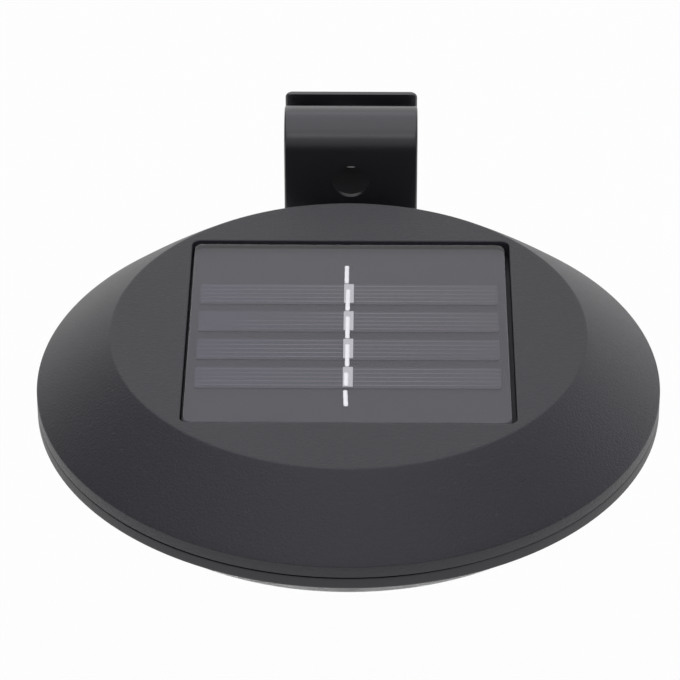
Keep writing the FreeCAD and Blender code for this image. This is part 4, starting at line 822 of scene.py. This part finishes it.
# %% Ribbon surface
def ribbon_sheet(start, stop, middle, lean, count=70):
    """One flat wire along Y, from start to stop: its edge wanders, its skin waves and its ends are round."""
    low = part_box("tabbing_ribbon")[0].z / MM
    share = np.linspace(0, 1, count)
    y = AXIS[1] + start + (stop - start) * (0.5 - 0.5 * np.cos(np.pi * share))
    fall = np.clip((AXIS[1] - 16.15 - y) / 0.6, 0, 1) + np.clip((y - AXIS[1] - 15.6) / 0.6, 0, 1)
    from_end = np.minimum(abs(y - y[0]), abs(y - y[-1]))
    round_end = np.sqrt(np.clip(1 - (1 - np.clip(from_end / 0.3, 0, 1)) ** 2, 0.02, 1))
    half = (0.40 + 0.02 * np.sin(y * 3.3) + 0.015 * np.sin(y * 8.9 + 2)) * round_end
    wave = 0.012 * np.sin(y * 5.1) + 0.008 * np.sin(y * 11.7 + 1)
    shape = np.array([(-1, 0.02), (-0.8, 0.13), (-0.4, 0.15), (0, 0.145), (0.4, 0.15), (0.8, 0.13),
                      (1, 0.02), (0.8, 0), (-0.8, 0)])
    across, up = shape[:, 0][None], shape[:, 1][None]
    x = middle + lean * (y - y.mean())[:, None] + across * half[:, None]
    z = low + up * (0.6 + 0.4 * round_end[:, None]) + wave[:, None] * (up > 0.1) - 0.3 * fall[:, None]
    points = np.stack([x, y[:, None] + 0 * x, z], axis=-1)
    closing = lambda row: np.repeat(row.mean(axis=1, keepdims=True), len(shape), axis=1)
    return grid(np.concatenate([closing(points[:1]), points, closing(points[-1:])]), close_v=True)


joins = [(21.8, 15.6, -0.42, 0.0), (13.75, 6.95, -0.18, 0.012), (5.15, -1.65, -0.18, 0.0),
         (-3.45, -10.25, -0.16, 0.0), (-12.05, -16.1, -0.3, 0.0), (-16.9, -21.7, -0.34, -0.03)]
ribbon = piece("solder_ribbon", [ribbon_sheet(*join) for join in joins], "lamp", "tinned_copper",
               "tabbing_ribbon", angle=60)
paint(ribbon, plain("tinned_ribbon", (0.93, 0.93, 0.925), 0.36, 0.85, grain=700.0, drift=0.16, depth=2.5e-5))

# %% [markdown]
# ## Pieces inside
# The battery, boards, seals and wires are closed in, but each still gets the finish of its own trade, so
# that the lamp holds up when it is taken apart.

# %% Inner finishes
inner = {
    "rim_seal": ((0.02, 0.02, 0.02), 0.8, 0), "lens_seal": ((0.02, 0.02, 0.02), 0.8, 0),
    "button_seal": ((0.02, 0.02, 0.02), 0.8, 0), "battery_cell": ((0.06, 0.26, 0.12), 0.35, 0),
    "battery_holder": ((0.018, 0.018, 0.018), 0.6, 0), "battery_contacts": ((0.6, 0.58, 0.54), 0.28, 1),
    "led_board": ((0.78, 0.78, 0.76), 0.5, 0), "leds": ((0.86, 0.72, 0.26), 0.4, 0),
    "reflector": ((0.82, 0.82, 0.8), 0.25, 0), "control_board": ((0.02, 0.12, 0.05), 0.4, 0),
    "board_screws": ((0.5, 0.5, 0.51), 0.35, 1), "control_chip": ((0.02, 0.02, 0.02), 0.55, 0),
    "power_coil": ((0.06, 0.06, 0.06), 0.7, 0), "capacitor": ((0.55, 0.55, 0.56), 0.4, 0.9),
    "switch_body": ((0.03, 0.03, 0.03), 0.55, 0), "panel_wires": ((0.35, 0.03, 0.02), 0.5, 0),
    "led_wires": ((0.03, 0.03, 0.03), 0.5, 0), "switch_wires": ((0.03, 0.03, 0.03), 0.5, 0),
    "battery_wires": ((0.35, 0.03, 0.02), 0.5, 0),
}
for name, (colour, roughness, metallic) in inner.items():
    paint(nodes[name], plain(f"{name}_finish", colour, roughness, float(metallic)))
print("inner finishes:", len(inner))

# %% [markdown]
# ## Floor and light
# A pale sweep stands under and behind the lamp. It is white to the camera and to reflections, and keeps
# the soft shadow. Seen from below it is clear, so that the underside can be looked at too. Large soft
# lamps overhead, in front, behind and at the right draw the long pale gleams that tell a black object's
# shape.

# %% Sweep
def sweep_sheet():
    """A floor that curves up into a backdrop: a straight run, a quarter circle and a straight rise."""
    turn = np.radians(np.linspace(-90, 0, 24))
    bend = np.column_stack([900 + 600 * np.cos(turn), 470 + 600 * np.sin(turn)])
    side = np.vstack([[(-1500, -130)], bend, [(1500, 1050)]])
    x = np.linspace(-1400, 1400, 9)[:, None]
    y, z = side[:, 0][None], side[:, 1][None]
    return grid(np.stack([x + 0 * y, y + 0 * x, z + 0 * x], axis=-1))


sweep_mesh = mesh_of("sweep", [sweep_sheet()])
if sweep_mesh.polygons[0].normal.z < 0:
    sweep_mesh.flip_normals()
soften(sweep_mesh, 60)
sweep = bpy.data.objects.new("sweep", sweep_mesh)
bpy.context.scene.collection.objects.link(sweep)


def seen_as_white(tree_owner):
    """1 for rays from the camera or off a shiny or clear surface, and 0 for light on its way about."""
    path = tree_owner.node("LightPath", output="Is Camera Ray")
    outputs = path.socket.node.outputs
    glossy, clear = (Signal(tree_owner, outputs[name]) for name in ("Is Glossy Ray", "Is Transmission Ray"))
    return tree_owner.clamp(path + glossy + clear)


pale = Finish("pale_sweep")
lit = pale.node("BsdfDiffuse", {}, {"Color": (0.9, 0.9, 0.9, 1)})
glow = pale.node("Emission", {}, {"Color": (1, 1, 1, 1), "Strength": 1.0})
both = pale.node("MixShader", {}, {0: seen_as_white(pale) * 0.95, 1: lit, 2: glow})
open_below = pale.node("BsdfTransparent", {}, {"Color": (1, 1, 1, 1)})
from_below = pale.node("NewGeometry", output="Backfacing")
one_way = pale.node("MixShader", {}, {0: from_below, 1: both, 2: open_below})
pale.node("OutputMaterial", {}, {"Surface": one_way})
paint(sweep, pale.material)

# %% World and lamps
world = bpy.data.worlds.new("studio")
bpy.context.scene.world = world
world.use_nodes = True
# The world has a tree but no material, so its finish is made without one.
room = Finish.__new__(Finish)
room.tree = world.node_tree
room.tree.nodes.clear()
seen = room.node("LightPath", output="Is Camera Ray")
shade = room.mix(seen, (0.34, 0.335, 0.355, 1), (1, 1, 1, 1))
room.node("OutputWorld", {}, {"Surface": room.node("Background", {}, {"Color": shade, "Strength": 1.0})})


def softbox(name, place, target, width, height, brightness):
    """A rectangular lamp that faces its target; its power follows from its area and brightness."""
    light = bpy.data.lights.new(name, "AREA")
    light.shape, light.size, light.size_y = "RECTANGLE", width, height
    light.energy = brightness * math.pi * width * height
    light.color = (1.0, 0.985, 1.04)
    lamp = bpy.data.objects.new(name, light)
    bpy.context.scene.collection.objects.link(lamp)
    lamp.location = place
    lamp.rotation_euler = (Vector(target) - Vector(place)).to_track_quat("-Z", "Y").to_euler()


aim = tuple(AXIS * MM)
softbox("overhead", (0.0, 0.0, 1.0), aim, 1.6, 1.8, 0.80)
softbox("back_high", (0.0, 1.45, 1.45), aim, 1.8, 0.7, 0.62)
softbox("back_left", (-0.5, 1.25, 0.5), aim, 0.9, 0.55, 0.3)
softbox("front_fill", (0.0, -1.1, 0.95), aim, 0.9, 0.3, 0.6)
softbox("front_band", (0.0, -1.1, 0.74), aim, 0.9, 0.26, 1.0)
softbox("front_low", (0.0, -1.3, 0.25), aim, 1.6, 0.4, 0.08)
softbox("right_side", (1.25, 0.6, 0.3), aim, 1.2, 0.6, 0.95)
print("lamps:", len(bpy.data.lights))

# %% [markdown]
# ## The camera
# The view looks down at about a third of a right angle from the front, through a long lens. Placing the
# camera by angles and distance, rather than by hand, keeps it true to the view it was measured from.

# %% Camera
ELEVATION, AZIMUTH, DISTANCE, FOCAL = 33.80, 0.444, 0.6802, 3944.0
CENTRE = (348.4, 329.5)
tilt, turn = math.radians(ELEVATION), math.radians(AZIMUTH)
back = Vector((math.cos(tilt) * math.sin(turn), -math.cos(tilt) * math.cos(turn), math.sin(tilt)))
lens_data = bpy.data.cameras.new("camera")
lens_data.sensor_width, lens_data.lens = 36.0, 36.0 * FOCAL / 680
lens_data.shift_x, lens_data.shift_y = (340 - CENTRE[0]) / 680, (CENTRE[1] - 340) / 680
lens_data.clip_start, lens_data.clip_end = 0.05, 20.0
camera = bpy.data.objects.new("camera", lens_data)
bpy.context.scene.collection.objects.link(camera)
camera.location = Vector(AXIS * MM) + back * DISTANCE
camera.rotation_euler = (-back).to_track_quat("-Z", "Y").to_euler()
bpy.context.scene.camera = camera
bpy.context.scene.view_settings.view_transform = "Standard"
print("camera at", [round(value, 3) for value in camera.location])
